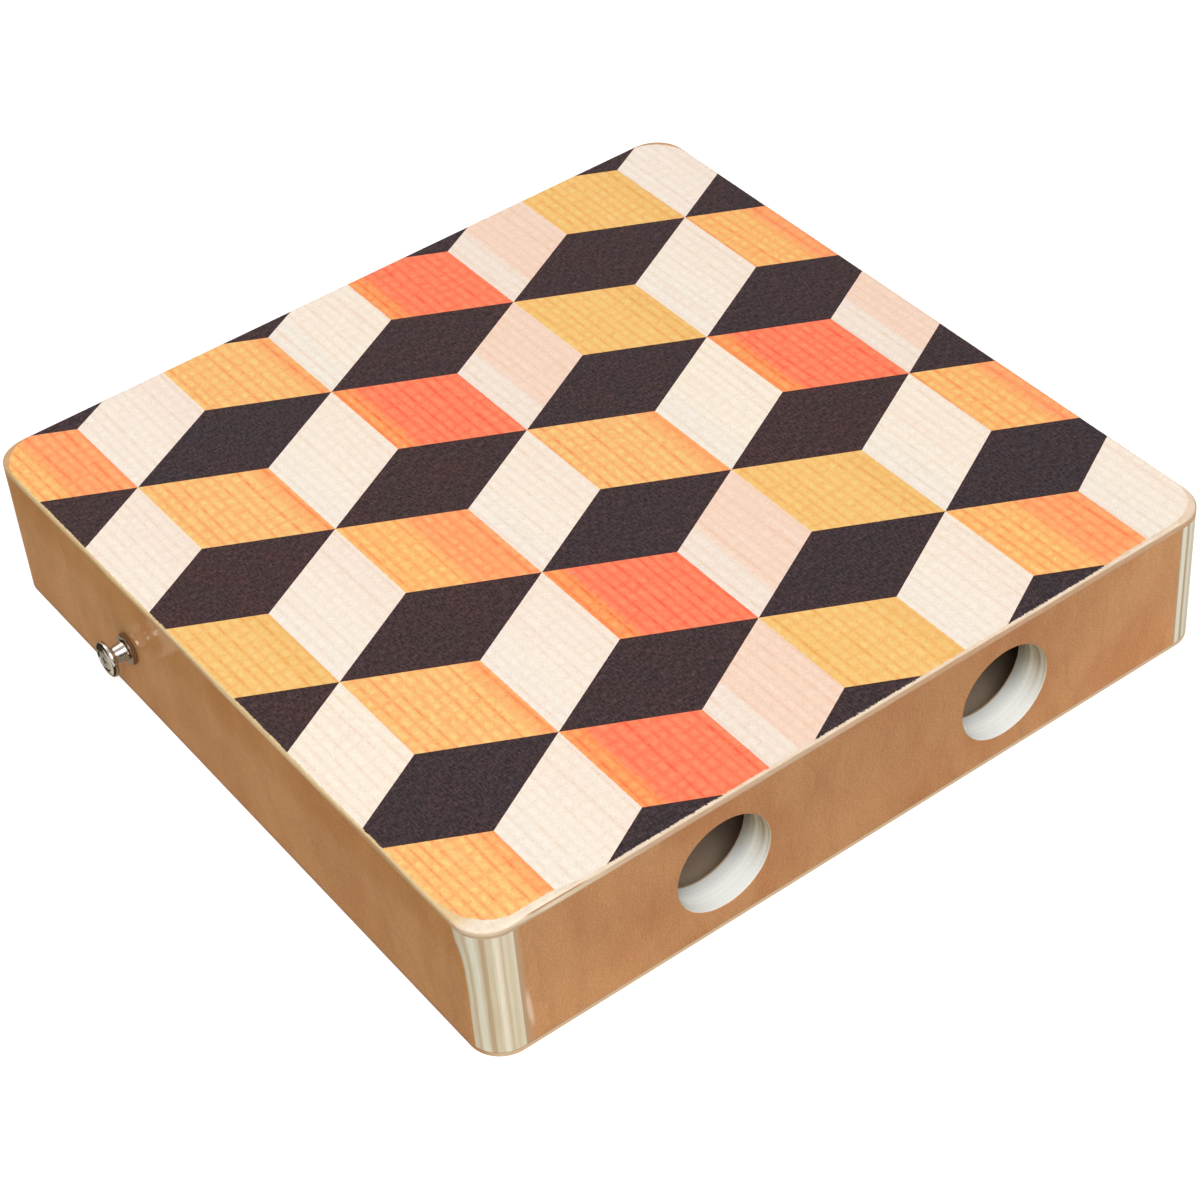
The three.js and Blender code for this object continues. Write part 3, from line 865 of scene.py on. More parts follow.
@dataclass(frozen=True)
class WallPlywood(Finish):
    """A wall: brown face veneer, bare plies where it is sanded or bored, satin lacquer."""

    axis: WallAxis
    half_side: float
    joint: float
    wall_top: float
    stack: PlyStack
    name: str
    veneer: float = 0.30
    # Painted light: how far the bore's plies are painted towards white low down, where light falls in through
    # the hole.
    painted_bore_light: float = 0.0
    worn_at_top: float = 0.45
    thinned: float = 0.0
    smear_height: float = 17.0
    smear_inward: float = 2.0
    light: Colour = srgb(190, 139, 94)
    dark: Colour = srgb(177, 122, 80)
    thin_tone: Colour = srgb(186, 150, 114)
    smear_tone: Colour = srgb(222, 190, 163)
    inner: Colour = srgb(176, 152, 126)
    inner_skin: float = 12.9
    figure_gap: float = 19.0
    worn_reach: float = 18.0
    painted_light_from: float = 11.0
    painted_light_to: float = 31.0
    rear_veneer: float = 1.2
    grain: GrainSize = GrainSize(2.6, 0.45, 18.0)
    grain_depth: float = 0.01
    lacquer: float = 0.4
    lacquer_rough: float = 0.12
    # Painted light: how much paler the veneer is painted towards the bottom, standing in for light bounced up
    # from the floor.
    painted_floor_bounce: float = 0.0
    # Painted light: how much paler the veneer is painted towards the right end, and darker in the middle,
    # standing in for how the light falls along the wall.
    painted_end_light: float = 0.0

    def face(self, graph: Graph, place: Value) -> tuple[Field, Field]:
        """Returns the face veneer's colour and its fibres.

        Args:
            graph: The material's graph.
            place: The place in millimetres.

        Returns:
            The veneer's colour, with clouds, a faint standing figure, fine specks and painted light towards
            the bottom and the right end, and the fibre value.
        """
        x, y, z = graph.split(place)
        fibre, _, cloud = WoodFigure().on(graph, place, *self.grain)
        wide = graph.noise(place, (0.022, 0.022, 0.016), 3.0, 0.6)
        tone = cloud * 0.5 + wide * 0.5
        colour = graph.mix(graph.ease(tone, 0.36, 0.62), self.dark, self.light)
        along = (x + y) / self.figure_gap
        wave = graph.math("FRACT", wide * 5.0 + along)
        flame = graph.ease(wave, 0.0, 0.5, 1.0, 0.0)
        flame = flame * graph.ease(cloud, 0.42, 0.60, 0.0, 0.07)
        colour = graph.shade(colour, 1.0 - flame)
        # Painted light: the veneer is painted paler towards the bottom, for the light that the floor bounces
        # up, and a little darker above.
        lift = graph.ease(z, 6.0, 34.0, 1.0 + self.painted_floor_bounce, 1.0 - self.painted_floor_bounce * 0.4)
        colour = graph.shade(colour, lift)
        # Painted light: darker in the middle of the wall and paler towards its right end.
        if self.painted_end_light > 0.0:
            middle = graph.ease(abs(x), 15.0, 75.0, 1.0 - 0.6 * self.painted_end_light, 1.0)
            colour = graph.shade(colour, middle * graph.ease(x, 70.0, 120.0, 1.0, 1.0 + self.painted_end_light))
        speck = graph.noise(place, 1.5, 2.0, 0.7)
        colour = graph.shade(colour, graph.ease(speck, 0.25, 0.75, 0.84, 1.16))
        return graph.shade(colour, graph.ease(fibre, 0.25, 0.75, 0.93, 1.07)), fibre

    def worn_joint(self, graph: Graph, veneer: Value, inward: Value, z: Value, patch: Value) -> Field:
        """Returns the veneer with the sanded strip along the joint and the pale smear beside it.

        Args:
            graph: The material's graph.
            veneer: The veneer's colour.
            inward: The distance from the joint.
            z: The height.
            patch: A patchy value around one half.

        Returns:
            The colour.
        """
        reach = (patch - 0.5) * 3.0 + inward
        colour = graph.mix(graph.ease(reach, 0.8, 2.6, self.thinned, 0.0), veneer, self.thin_tone)
        aside = abs(reach - self.smear_inward)
        height = abs(z - self.smear_height)
        smear = graph.ease(aside, 0.2, 1.5, self.thinned, 0.0) * graph.ease(height, 3.0, 11.0, 1.0, 0.0)
        return graph.mix(smear, colour, self.smear_tone)

    def paint(self, graph: Graph, shader: bpy.types.Node) -> None:
        """Picks veneer or bare ply by the depth below the outer face."""
        place = FramePlace().on(graph)[0]
        x, y, z = graph.split(place)
        stacked, other = (x, y) if self.axis is WallAxis.ACROSS else (y, x)
        depth = self.half_side - abs(stacked)
        edge = abs(other)
        veneer, fibre = self.face(graph, place)
        patch = graph.noise(place, (0.12, 0.12, 0.06), 3.0)
        inward = self.joint - edge
        thinned = self.worn_joint(graph, veneer, inward, z, patch)
        veneer = graph.mix(graph.math("LESS_THAN", x, 0.0), veneer, thinned)
        worn = graph.ease(z, self.wall_top - self.worn_reach, self.wall_top, 0.0, self.worn_at_top)
        worn = worn * graph.ease(edge, self.joint - 3.0, self.joint + 2.5)
        worn = worn * graph.ease(depth, 1.0, 3.5, 1.0, 0.0)
        sanded = depth + worn
        # Painted light: the bore's plies are painted nearly white low down, where light falls in through the
        # hole, fading out towards the hole's upper part.
        painted_bore_light = graph.ease(z, self.painted_light_from, self.painted_light_to, self.painted_bore_light, 0.0)
        plies = self.stack.on(graph, sanded, place, painted_bore_light)[0]
        if self.painted_bore_light > 0.0:
            # Painted shade: the plies are darkened deep in the bore, more strongly above its lowest part.
            painted_bore_shade = graph.ease(depth, 6.0, 13.5) * graph.ease(z, 10.0, 18.0, 0.34, 0.55)
            plies = graph.shade(plies, 1.0 - painted_bore_shade)
        whole = graph.ease(y, 0.0, 60.0, self.veneer, self.veneer + self.rear_veneer)
        limit = (patch - 0.5) * 0.15 + whole
        bare = graph.ease(sanded - limit, -0.08, 0.10)
        colour = graph.mix(bare, veneer, plies)
        colour = graph.mix(graph.ease(depth, self.inner_skin, self.inner_skin + 0.1), colour, self.inner)
        graph.feed_all(shader, {
            "Base Color": colour,
            "Roughness": graph.ease(fibre, 0.3, 0.7, 0.42, 0.54),
            "Coat Weight": self.lacquer,
            "Coat Roughness": self.lacquer_rough,
            "Specular IOR Level": 0.0,
            "Normal": graph.bump(fibre, self.grain_depth),
        })


@dataclass(frozen=True)
class BackPlywood(Finish):
    """The back panel: a brown face below, a grey-brown face inside that is darkened as painted shade, an edge
    as brown as the walls.
    """

    thickness: float
    half_side: float
    name: str = "back_panel_plywood"
    face: Colour = srgb(192, 144, 101)
    face_dark: Colour = srgb(172, 122, 80)
    # Painted shade: the inner face's grey-brown is made darker for the shade inside the closed box.
    inside: Colour = srgb(152, 133, 114)
    edge_tone: Colour = srgb(186, 136, 92)
    rim_tone: Colour = srgb(209, 180, 144)
    seam_tone: Colour = srgb(150, 116, 82)
    seam_from: float = 1.65
    grain: GrainSize = GrainSize(9.0, 0.5, 40.0)
    grain_depth: float = 0.03
    pore_share: float = -0.6
    gloss: float = 0.1

    def paint(self, graph: Graph, shader: bpy.types.Node) -> None:
        """Colours the panel by height through its plies."""
        place = FramePlace().on(graph)[0]
        x, y, z = graph.split(place)
        fibre, pore, cloud = WoodFigure().on(graph, graph.join(x, z, y), *self.grain)
        sway = graph.noise(place, 0.03, 3.0) - 0.5
        level = sway * 0.4 + z
        face = graph.mix(graph.ease(cloud, 0.3, 0.7), self.face_dark, self.face)
        ends = graph.ease(self.half_side - abs(y), 2.0, 8.0, 1.0, 0.0)
        edge = graph.mix(ends, self.edge_tone, self.rim_tone)
        seam = graph.ease(level, self.seam_from, self.seam_from + 0.3, 0.0, 0.8) * ends
        edge = graph.mix(seam, edge, self.seam_tone)
        colour = graph.mix(graph.ease(z, 0.03, 0.15), face, edge)
        # Painted shade: the inner face takes the darkened grey-brown.
        colour = graph.mix(graph.ease(z, self.thickness - 0.1, self.thickness - 0.02), colour, self.inside)
        colour = graph.shade(colour, graph.ease(fibre, 0.25, 0.75, 0.92, 1.06))
        graph.feed_all(shader, {
            "Base Color": colour,
            "Roughness": graph.ease(fibre, 0.3, 0.7, 0.46, 0.6),
            "Normal": graph.bump(pore * self.pore_share + fibre, self.grain_depth),
            "Specular IOR Level": self.gloss,
        })


@dataclass(frozen=True)
class Hardwood(Finish):
    """Planed pale hardwood of the rail and the guide block, with the grain along X."""

    name: str = "planed_hardwood"
    light: Colour = srgb(214, 178, 132)
    dark: Colour = srgb(184, 144, 98)
    grain: GrainSize = GrainSize(14.0, 0.5, 9.0)
    grain_depth: float = 0.05
    pore_share: float = -0.8
    pore_shade: float = -0.22

    def paint(self, graph: Graph, shader: bpy.types.Node) -> None:
        """Lays long fibres, pores and a slow figure."""
        place = FramePlace().on(graph)[0]
        x, y, z = graph.split(place)
        fibre, pore, cloud = WoodFigure().on(graph, graph.join(y, z, x), *self.grain)
        colour = graph.mix(graph.ease(cloud, 0.3, 0.7), self.dark, self.light)
        colour = graph.shade(colour, graph.ease(fibre, 0.25, 0.75, 0.86, 1.08))
        colour = graph.shade(colour, pore * self.pore_shade + 1.0)
        graph.feed_all(shader, {
            "Base Color": colour,
            "Roughness": graph.ease(fibre, 0.3, 0.7, 0.55, 0.7),
            "Normal": graph.bump(pore * self.pore_share + fibre, self.grain_depth),
        })


@dataclass(frozen=True)
class Metal(Finish):
    """A metal with smears and fine scratches in its gloss."""

    name: str
    colour: Colour
    rough: float
    smeared: float
    scratched: float
    size: float = 6.0
    smoothest: float = 0.02
    scratch_depth: float = 0.02

    def paint(self, graph: Graph, shader: bpy.types.Node) -> None:
        """Varies colour and roughness by handling."""
        place = FramePlace().on(graph)[0]
        smear, scratch = Handling().on(graph, place, self.size)
        colour = graph.shade(self.colour, graph.ease(smear, 0.2, 0.8, 0.92, 1.05))
        low = max(self.rough - self.smeared, self.smoothest)
        worn = graph.ease(smear, 0.3, 0.7, low, self.rough + self.smeared)
        graph.feed_all(shader, {
            "Base Color": colour,
            "Roughness": scratch * self.scratched + worn,
            "Metallic": 1.0,
            "Normal": graph.bump(scratch, self.scratched * self.scratch_depth),
        })


@dataclass(frozen=True)
class Felt(Finish):
    """Dark pressed felt of the washers under the strap buttons."""

    name: str = "pressed_felt"
    light: Colour = srgb(124, 84, 40)
    dark: Colour = srgb(76, 48, 22)
    fuzz_depth: float = 0.1
    rough: float = 0.9
    sheen: float = 0.05

    def paint(self, graph: Graph, shader: bpy.types.Node) -> None:
        """Tangles short fibres."""
        place = FramePlace().on(graph)[0]
        fuzz = graph.noise(place, 7.0, 5.0, 0.7)
        graph.feed_all(shader, {
            "Base Color": graph.mix(graph.ease(fuzz, 0.3, 0.7), self.dark, self.light),
            "Normal": graph.bump(fuzz, self.fuzz_depth),
            "Roughness": self.rough,
            "Sheen Weight": self.sheen,
        })


CHROME = Metal("polished_chrome", srgb(188, 181, 172), 0.10, 0.04, 0.02)
STEEL = Metal("zinc_plated_steel", srgb(176, 172, 166), 0.32, 0.08, 0.10)
BLACK_STEEL = Metal("black_oxide_steel", srgb(58, 58, 62), 0.42, 0.08, 0.08)
STRING_STEEL = Metal("plain_string_wire", srgb(205, 205, 208), 0.24, 0.05, 0.08)
BRASS = Metal("turned_brass", srgb(214, 178, 96), 0.26, 0.07, 0.08)


class Draft:
    """A mesh in the making."""

    def __init__(self) -> None:
        """Starts empty."""
        self.mesh = bmesh.new()

    def sheet(self, corners: Sequence[tuple]) -> "Draft":
        """Adds one flat face between its corners."""
        self.mesh.faces.new([self.mesh.verts.new(corner) for corner in corners])
        return self

    def loft(self, rings: Sequence[Sequence[Vector]]) -> "Draft":
        """Skins closed rings of equal count and closes both ends.

        Args:
            rings: The rings, each with its points in order.

        Returns:
            This draft.
        """
        loops = [[self.mesh.verts.new(point) for point in ring] for ring in rings]
        for lower, upper in zip(loops, loops[1:]):
            self.skin(lower, upper)
        self.mesh.faces.new(loops[0])
        self.mesh.faces.new(loops[-1])
        return self

    def skin(self, lower: list[bmesh.types.BMVert], upper: list[bmesh.types.BMVert]) -> None:
        """Joins two loops, either of which may be a single pole."""
        count = max(len(lower), len(upper))
        for place in range(count):
            after = (place + 1) % count
            corners = [lower[place % len(lower)], lower[after % len(lower)]]
            corners += [upper[after % len(upper)], upper[place % len(upper)]]
            self.mesh.faces.new(list(dict.fromkeys(corners)))

    def turn(self, profile: Outline, sides: int, ring: bool = False, wave: Wave | None = None) -> "Draft":
        """Turns a profile of radius and height about Z.

        Args:
            profile: Points from the bottom up, or round a ring's section.
            sides: How many columns the surface has.
            ring: Whether the profile closes on itself.
            wave: An addition to the radius by angle and height.

        Returns:
            This draft.
        """
        loops = []
        for radius, height in profile:
            if radius <= 0.0:
                loops.append([self.mesh.verts.new((0.0, 0.0, height))])
                continue
            loop = []
            for side in range(sides):
                angle = 2 * math.pi * side / sides
                reach = radius + (wave(angle, height) if wave else 0.0)
                loop.append(self.mesh.verts.new((reach * math.cos(angle), reach * math.sin(angle), height)))
            loops.append(loop)
        for lower, upper in zip(loops, loops[1:]):
            self.skin(lower, upper)
        if ring:
            self.skin(loops[-1], loops[0])
        return self

    def block(self, low: Vector, high: Vector) -> "Draft":
        """Adds a box between two corners."""
        rings = []
        for z in (low.z, high.z):
            rings.append([Vector((x, y, z)) for x, y in
                          ((low.x, low.y), (high.x, low.y), (high.x, high.y), (low.x, high.y))])
        return self.loft(rings)

    def moved(self, matrix: Matrix) -> "Draft":
        """Places the draft by a matrix."""
        self.mesh.transform(matrix)
        return self

    def piece(self, name: str, sharp: float = SMOOTH_TO) -> Piece:
        """Puts the mesh into the scene.

        Args:
            name: The piece's name.
            sharp: The angle in degrees from which an edge stays sharp.

        Returns:
            The new object.
        """
        bmesh.ops.recalc_face_normals(self.mesh, faces=self.mesh.faces)
        data = bpy.data.meshes.new(name)
        self.mesh.to_mesh(data)
        self.mesh.free()
        made = bpy.data.objects.new(name, data)
        bpy.context.scene.collection.objects.link(made)
        soften(made, sharp)
        return made


def soften(piece: Piece, sharp: float = SMOOTH_TO) -> None:
    """Shades a piece smoothly up to an angle and keeps its flat faces even."""
    piece.data.shade_smooth()
    piece.data.set_sharp_from_angle(angle=math.radians(sharp))
    piece.modifiers.new("even_shading", "WEIGHTED_NORMAL").keep_sharp = True


def carve(target: Piece, cutters: Sequence[Piece]) -> None:
    """Cuts solids out of a piece and drops the cutters.

    Args:
        target: The piece that is cut.
        cutters: Closed solids.
    """
    target.modifiers.clear()
    for cutter in cutters:
        cutter.modifiers.clear()
        modifier = target.modifiers.new("cut", "BOOLEAN")
        modifier.operation = "DIFFERENCE"
        modifier.solver = "EXACT"
        modifier.object = cutter
    bpy.context.view_layer.update()
    whole = target.evaluated_get(bpy.context.evaluated_depsgraph_get())
    target.data = bpy.data.meshes.new_from_object(whole)
    target.modifiers.clear()
    for cutter in cutters:
        bpy.data.objects.remove(cutter)
    soften(target)


def merge(piece: Piece, added: Piece) -> None:
    """Adds the mesh of one piece to another and drops the added piece."""
    whole = bmesh.new()
    for part in (piece, added):
        whole.from_mesh(part.data)
    whole.to_mesh(piece.data)
    whole.free()
    bpy.data.objects.remove(added)


def arc(centre: tuple[float, float], radius: float, start: float, end: float, steps: int) -> Outline:
    """Returns points on an arc.

    Args:
        centre: The arc's centre.
        radius: Its radius.
        start: The first angle in degrees.
        end: The last angle in degrees.
        steps: How many steps lie between them.

    Returns:
        The points, both ends included.
    """
    points = []
    for step in range(steps + 1):
        angle = math.radians(start + (end - start) * step / steps)
        points.append((centre[0] + radius * math.cos(angle), centre[1] + radius * math.sin(angle)))
    return points


def bend(first: tuple, pull: tuple, last: tuple, steps: int) -> Outline:
    """Returns points on a quadratic curve between two points with one handle."""
    points = []
    for step in range(steps + 1):
        t = step / steps
        shares = ((1 - t) ** 2, 2 * (1 - t) * t, t * t)
        points.append(tuple(sum(s * p[k] for s, p in zip(shares, (first, pull, last))) for k in (0, 1)))
    return points


def screw_thread(pitch: float, depth: float) -> Wave:
    """Returns the wave of a screw thread, which lies below the radius of its shank.

    Args:
        pitch: The rise of one turn.
        depth: The depth of the thread.

    Returns:
        The addition to the radius by angle and height.
    """

    def wave(angle: float, height: float) -> float:
        """Returns the addition at one place."""
        turn = (height / pitch - angle / (2 * math.pi)) % 1.0
        return -depth * abs(2 * turn - 1)

    return wave


def axis_turn(direction: Vector, place: Vector) -> Matrix:
    """Returns the matrix that stands a turned piece on a place, along a direction."""
    return Matrix.Translation(place) @ direction.to_track_quat("Z", "Y").to_matrix().to_4x4()


def install(piece: Piece, finish: Finish, body: str, slot: str, *nodes: str) -> None:
    """Dresses a piece and makes it ride on a body.

    Args:
        piece: The new piece, in place.
        finish: Its finish.
        body: The body that it moves with.
        slot: The record's material slot; not used.
        nodes: The nodes that it stands for.
    """
    piece.data.materials.clear()
    piece.data.materials.append(finish.material())
    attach(piece, body)
    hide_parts(*nodes)
    LOG.info("%s rides on %s and stands for %s", piece.name, body, ", ".join(nodes))


@dataclass
class Case:
    """The wooden box: tapa, back panel and four walls."""

    corner: float = 12.0 * MM
    face_corner: float = 16.0 * MM
    tapa_round: float = 1.0 * MM
    back_round: float = 0.5 * MM
    seam: float = 0.05 * MM
    joint_seam: float = 0.03 * MM
    hole_radius: float = 18.4 * MM
    hole_spacing: float = 117.0 * MM
    hole_rim: float = 0.4 * MM
    bolt_bore: float = 2.8 * MM
    bolt_sinking: float = 5.3 * MM
    sinking_rim: float = 0.4 * MM
    pilot_radius: float = 2.2 * MM
    cut_past: float = 2.0 * MM
    fit: float = 0.3 * MM
    corner_steps: int = 24
    round_steps: int = 6
    hole_sides: int = 128
    bolt_sides: int = 48
    pilot_sides: int = 24

    def __post_init__(self) -> None:
        """Reads the case's size from the frame."""
        low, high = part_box("tapa")
        self.half = high.x
        self.tapa_low = low.z
        self.top = high.z
        self.back_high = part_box("back_panel")[1].z
        self.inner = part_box("right_wall")[0].x
        self.middle = (self.tapa_low + self.back_high) / 2

    def outline(self, inset: float, corner: float) -> Outline:
        """Returns the case's outline from above, drawn in by an inset, with its own corner radius."""
        centre = self.half - inset - corner
        points = []
        for quarter, (right, rear) in enumerate(((1, 1), (-1, 1), (-1, -1), (1, -1))):
            start = 90.0 * quarter
            points += arc((centre * right, centre * rear), corner, start, start + 90.0, self.corner_steps)
        return points

    def build_panel(
        self, name: str, inner: float, outer: float, rounding: float, face_corner: float
    ) -> Piece:
        """Builds a thin panel, rounded over to an outer face with its own corners.

        Args:
            name: The piece's name.
            inner: The height of the face that meets the walls.
            outer: The height of the outer face.
            rounding: The radius of the outer edge.
            face_corner: The corner radius of the outer face.

        Returns:
            The panel.
        """
        way = 1 if outer > inner else -1
        levels = [(self.seam, self.corner - self.seam, inner), (0.0, self.corner, inner + way * self.seam)]
        for inset, lift in arc((1.0, 0.0), 1.0, 180.0, 90.0, self.round_steps):
            corner = self.corner + (face_corner - self.corner) * inset
            levels.append((rounding * inset, corner, outer - way * rounding * (1.0 - lift)))
        rings = [[Vector((x, y, z)) for x, y in self.outline(inset, corner)] for inset, corner, z in levels]
        return Draft().loft(rings).piece(name)

    def side_outline(self, inset: float) -> Outline:
        """Returns the right wall's outline from above: both corner rounds and the inner face."""
        centre = self.half - self.corner
        face = self.half - inset
        rear = arc((centre, centre), self.corner - inset, 0.0, 90.0, self.corner_steps)
        rear += [(self.inner + self.joint_seam, face), (self.inner, face - self.joint_seam)]
        return rear + [(x, -y) for x, y in reversed(rear)]

    def end_outline(self, inset: float) -> Outline:
        """Returns the rear wall's outline from above, between the side walls."""
        face = self.half - inset
        seam = self.joint_seam
        right = [(self.inner, self.inner), (self.inner, face - seam), (self.inner - seam, face)]
        return right + [(-x, y) for x, y in reversed(right)]

    def build_wall(self, name: str, outline: Callable[[float], Outline], mirror: Vector) -> Piece:
        """Builds a wall between the panels, with fine seams where it meets them.

        Args:
            name: The piece's name.
            outline: Gives the plan outline for an inset of the outer face.
            mirror: Plus or minus one for X and Y.

        Returns:
            The wall.
        """
        low, high = self.back_high, self.tapa_low
        levels = [(self.seam, low), (0.0, low + self.seam), (0.0, high - self.seam), (self.seam, high)]
        rings = []
        for inset, z in levels:
            rings.append([Vector((x * mirror.x, y * mirror.y, z)) for x, y in outline(inset)])
        return Draft().loft(rings).piece(name)

    def hole_cutter(self, x: float) -> Piece:
        """Returns the cutter of a sound hole, whose rim is rounded over."""
        face = self.half
        inside = self.inner - self.cut_past
        rim = self.hole_radius + self.hole_rim
        flare = arc((rim, face - self.hole_rim), self.hole_rim, 180.0, 90.0, self.round_steps)
        profile = [(0.0, inside), (self.hole_radius, inside), *flare]
        profile += [(rim, face + self.cut_past), (0.0, face + self.cut_past)]
        place = axis_turn(Vector((0.0, -1.0, 0.0)), Vector((x, 0.0, self.middle)))
        return Draft().turn(profile, self.hole_sides).moved(place).piece("hole_cutter")

    def bolt_cutter(self, side: str) -> Piece:
        """Returns the cutter of a tension bolt's way through the rear wall."""
        low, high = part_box(f"tension_bolt_{side}")
        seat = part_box(f"bolt_washer_{side}")[0].y - self.fit
        narrow = self.bolt_sinking
        wide = narrow + self.sinking_rim
        start, end = self.inner - self.cut_past, self.half + self.cut_past
        profile = [(0.0, start), (self.bolt_bore, start), (self.bolt_bore, seat), (narrow, seat)]
        profile += [(narrow, self.half - self.sinking_rim), (wide, self.half), (wide, end), (0.0, end)]
        centre = (low + high) / 2
        place = axis_turn(Vector((0.0, 1.0, 0.0)), Vector((centre.x, 0.0, centre.z)))
        return Draft().turn(profile, self.bolt_sides).moved(place).piece("bolt_cutter")

    def pilot_cutter(self, side: str) -> Piece:
        """Returns the cutter of the pilot hole under a strap button."""
        low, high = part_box(f"strap_screw_{side}")
        centre = (low + high) / 2
        way = 1.0 if centre.x > 0 else -1.0
        start = min(abs(low.x), abs(high.x)) - self.fit
        profile = [(0.0, start), (self.pilot_radius, start), (self.pilot_radius, self.half + self.cut_past)]
        profile.append((0.0, self.half + self.cut_past))
        place = axis_turn(Vector((way, 0.0, 0.0)), Vector((0.0, centre.y, centre.z)))
        return Draft().turn(profile, self.pilot_sides).moved(place).piece("pilot_cutter")

    def build(self) -> None:
        """Builds the box and dresses it."""
        half = self.half * PER_METRE
        corner = (self.face_corner + self.tapa_round) * PER_METRE
        joint = self.inner * PER_METRE
        tapa = self.build_panel("printed_tapa", self.tapa_low, self.top, self.tapa_round, self.face_corner)
        print_finish = PrintedPanel(half, corner, self.top * PER_METRE)
        install(tapa, print_finish, "case", "printed_panel", "tapa")
        back_corner = self.corner - self.back_round
        back = self.build_panel("plywood_back", self.back_high, 0.0, self.back_round, back_corner)
        back_finish = BackPlywood(self.back_high * PER_METRE, half)
        install(back, back_finish, "case", "back_plywood", "back_panel")
        wall_top = self.tapa_low * PER_METRE
        end_ply = WallPlywood(
            WallAxis.ALONG, half, joint, wall_top, PlyStack(), "end_wall_plywood",
            # Painted light: the bores of the end walls are painted nearly white low down.
            painted_bore_light=1.0, worn_at_top=0.0, thinned=0.85, veneer=0.12,
            # Painted light: the end walls are also painted paler towards the right end and darker in the
            # middle.
            # Painted light: the end walls' veneer is painted paler towards the bottom, for light bounced up
            # from the floor.
            painted_floor_bounce=0.085, painted_end_light=0.11, lacquer=0.12,
        )
        for side, way, stack in (("left", -1.0, PlyStack()), ("right", 1.0, RightPlyStack())):
            # Painted light: the side walls get a paler copy of the end walls' veneer, making up for the
            # weaker light that falls on the left side.
            side_ply = WallPlywood(
                WallAxis.ACROSS, half, joint, wall_top, stack, f"{side}_wall_plywood",
                light=srgb(201, 147, 95), dark=srgb(190, 133, 83),
            )
            wall = self.build_wall(f"plywood_{side}_wall", self.side_outline, Vector((way, 1.0, 0.0)))
            carve(wall, [self.pilot_cutter(side)])
            install(wall, side_ply, "case", "wall_plywood", f"{side}_wall")
        front = self.build_wall("plywood_front_wall", self.end_outline, Vector((1.0, -1.0, 0.0)))
        carve(front, [self.hole_cutter(way * self.hole_spacing / 2) for way in (-1.0, 1.0)])
        install(front, end_ply, "case", "wall_plywood", "front_wall")
        rear = self.build_wall("plywood_rear_wall", self.end_outline, Vector((1.0, 1.0, 0.0)))
        carve(rear, [self.bolt_cutter(side) for side in SIDES])
        install(rear, end_ply, "case", "wall_plywood", "rear_wall")


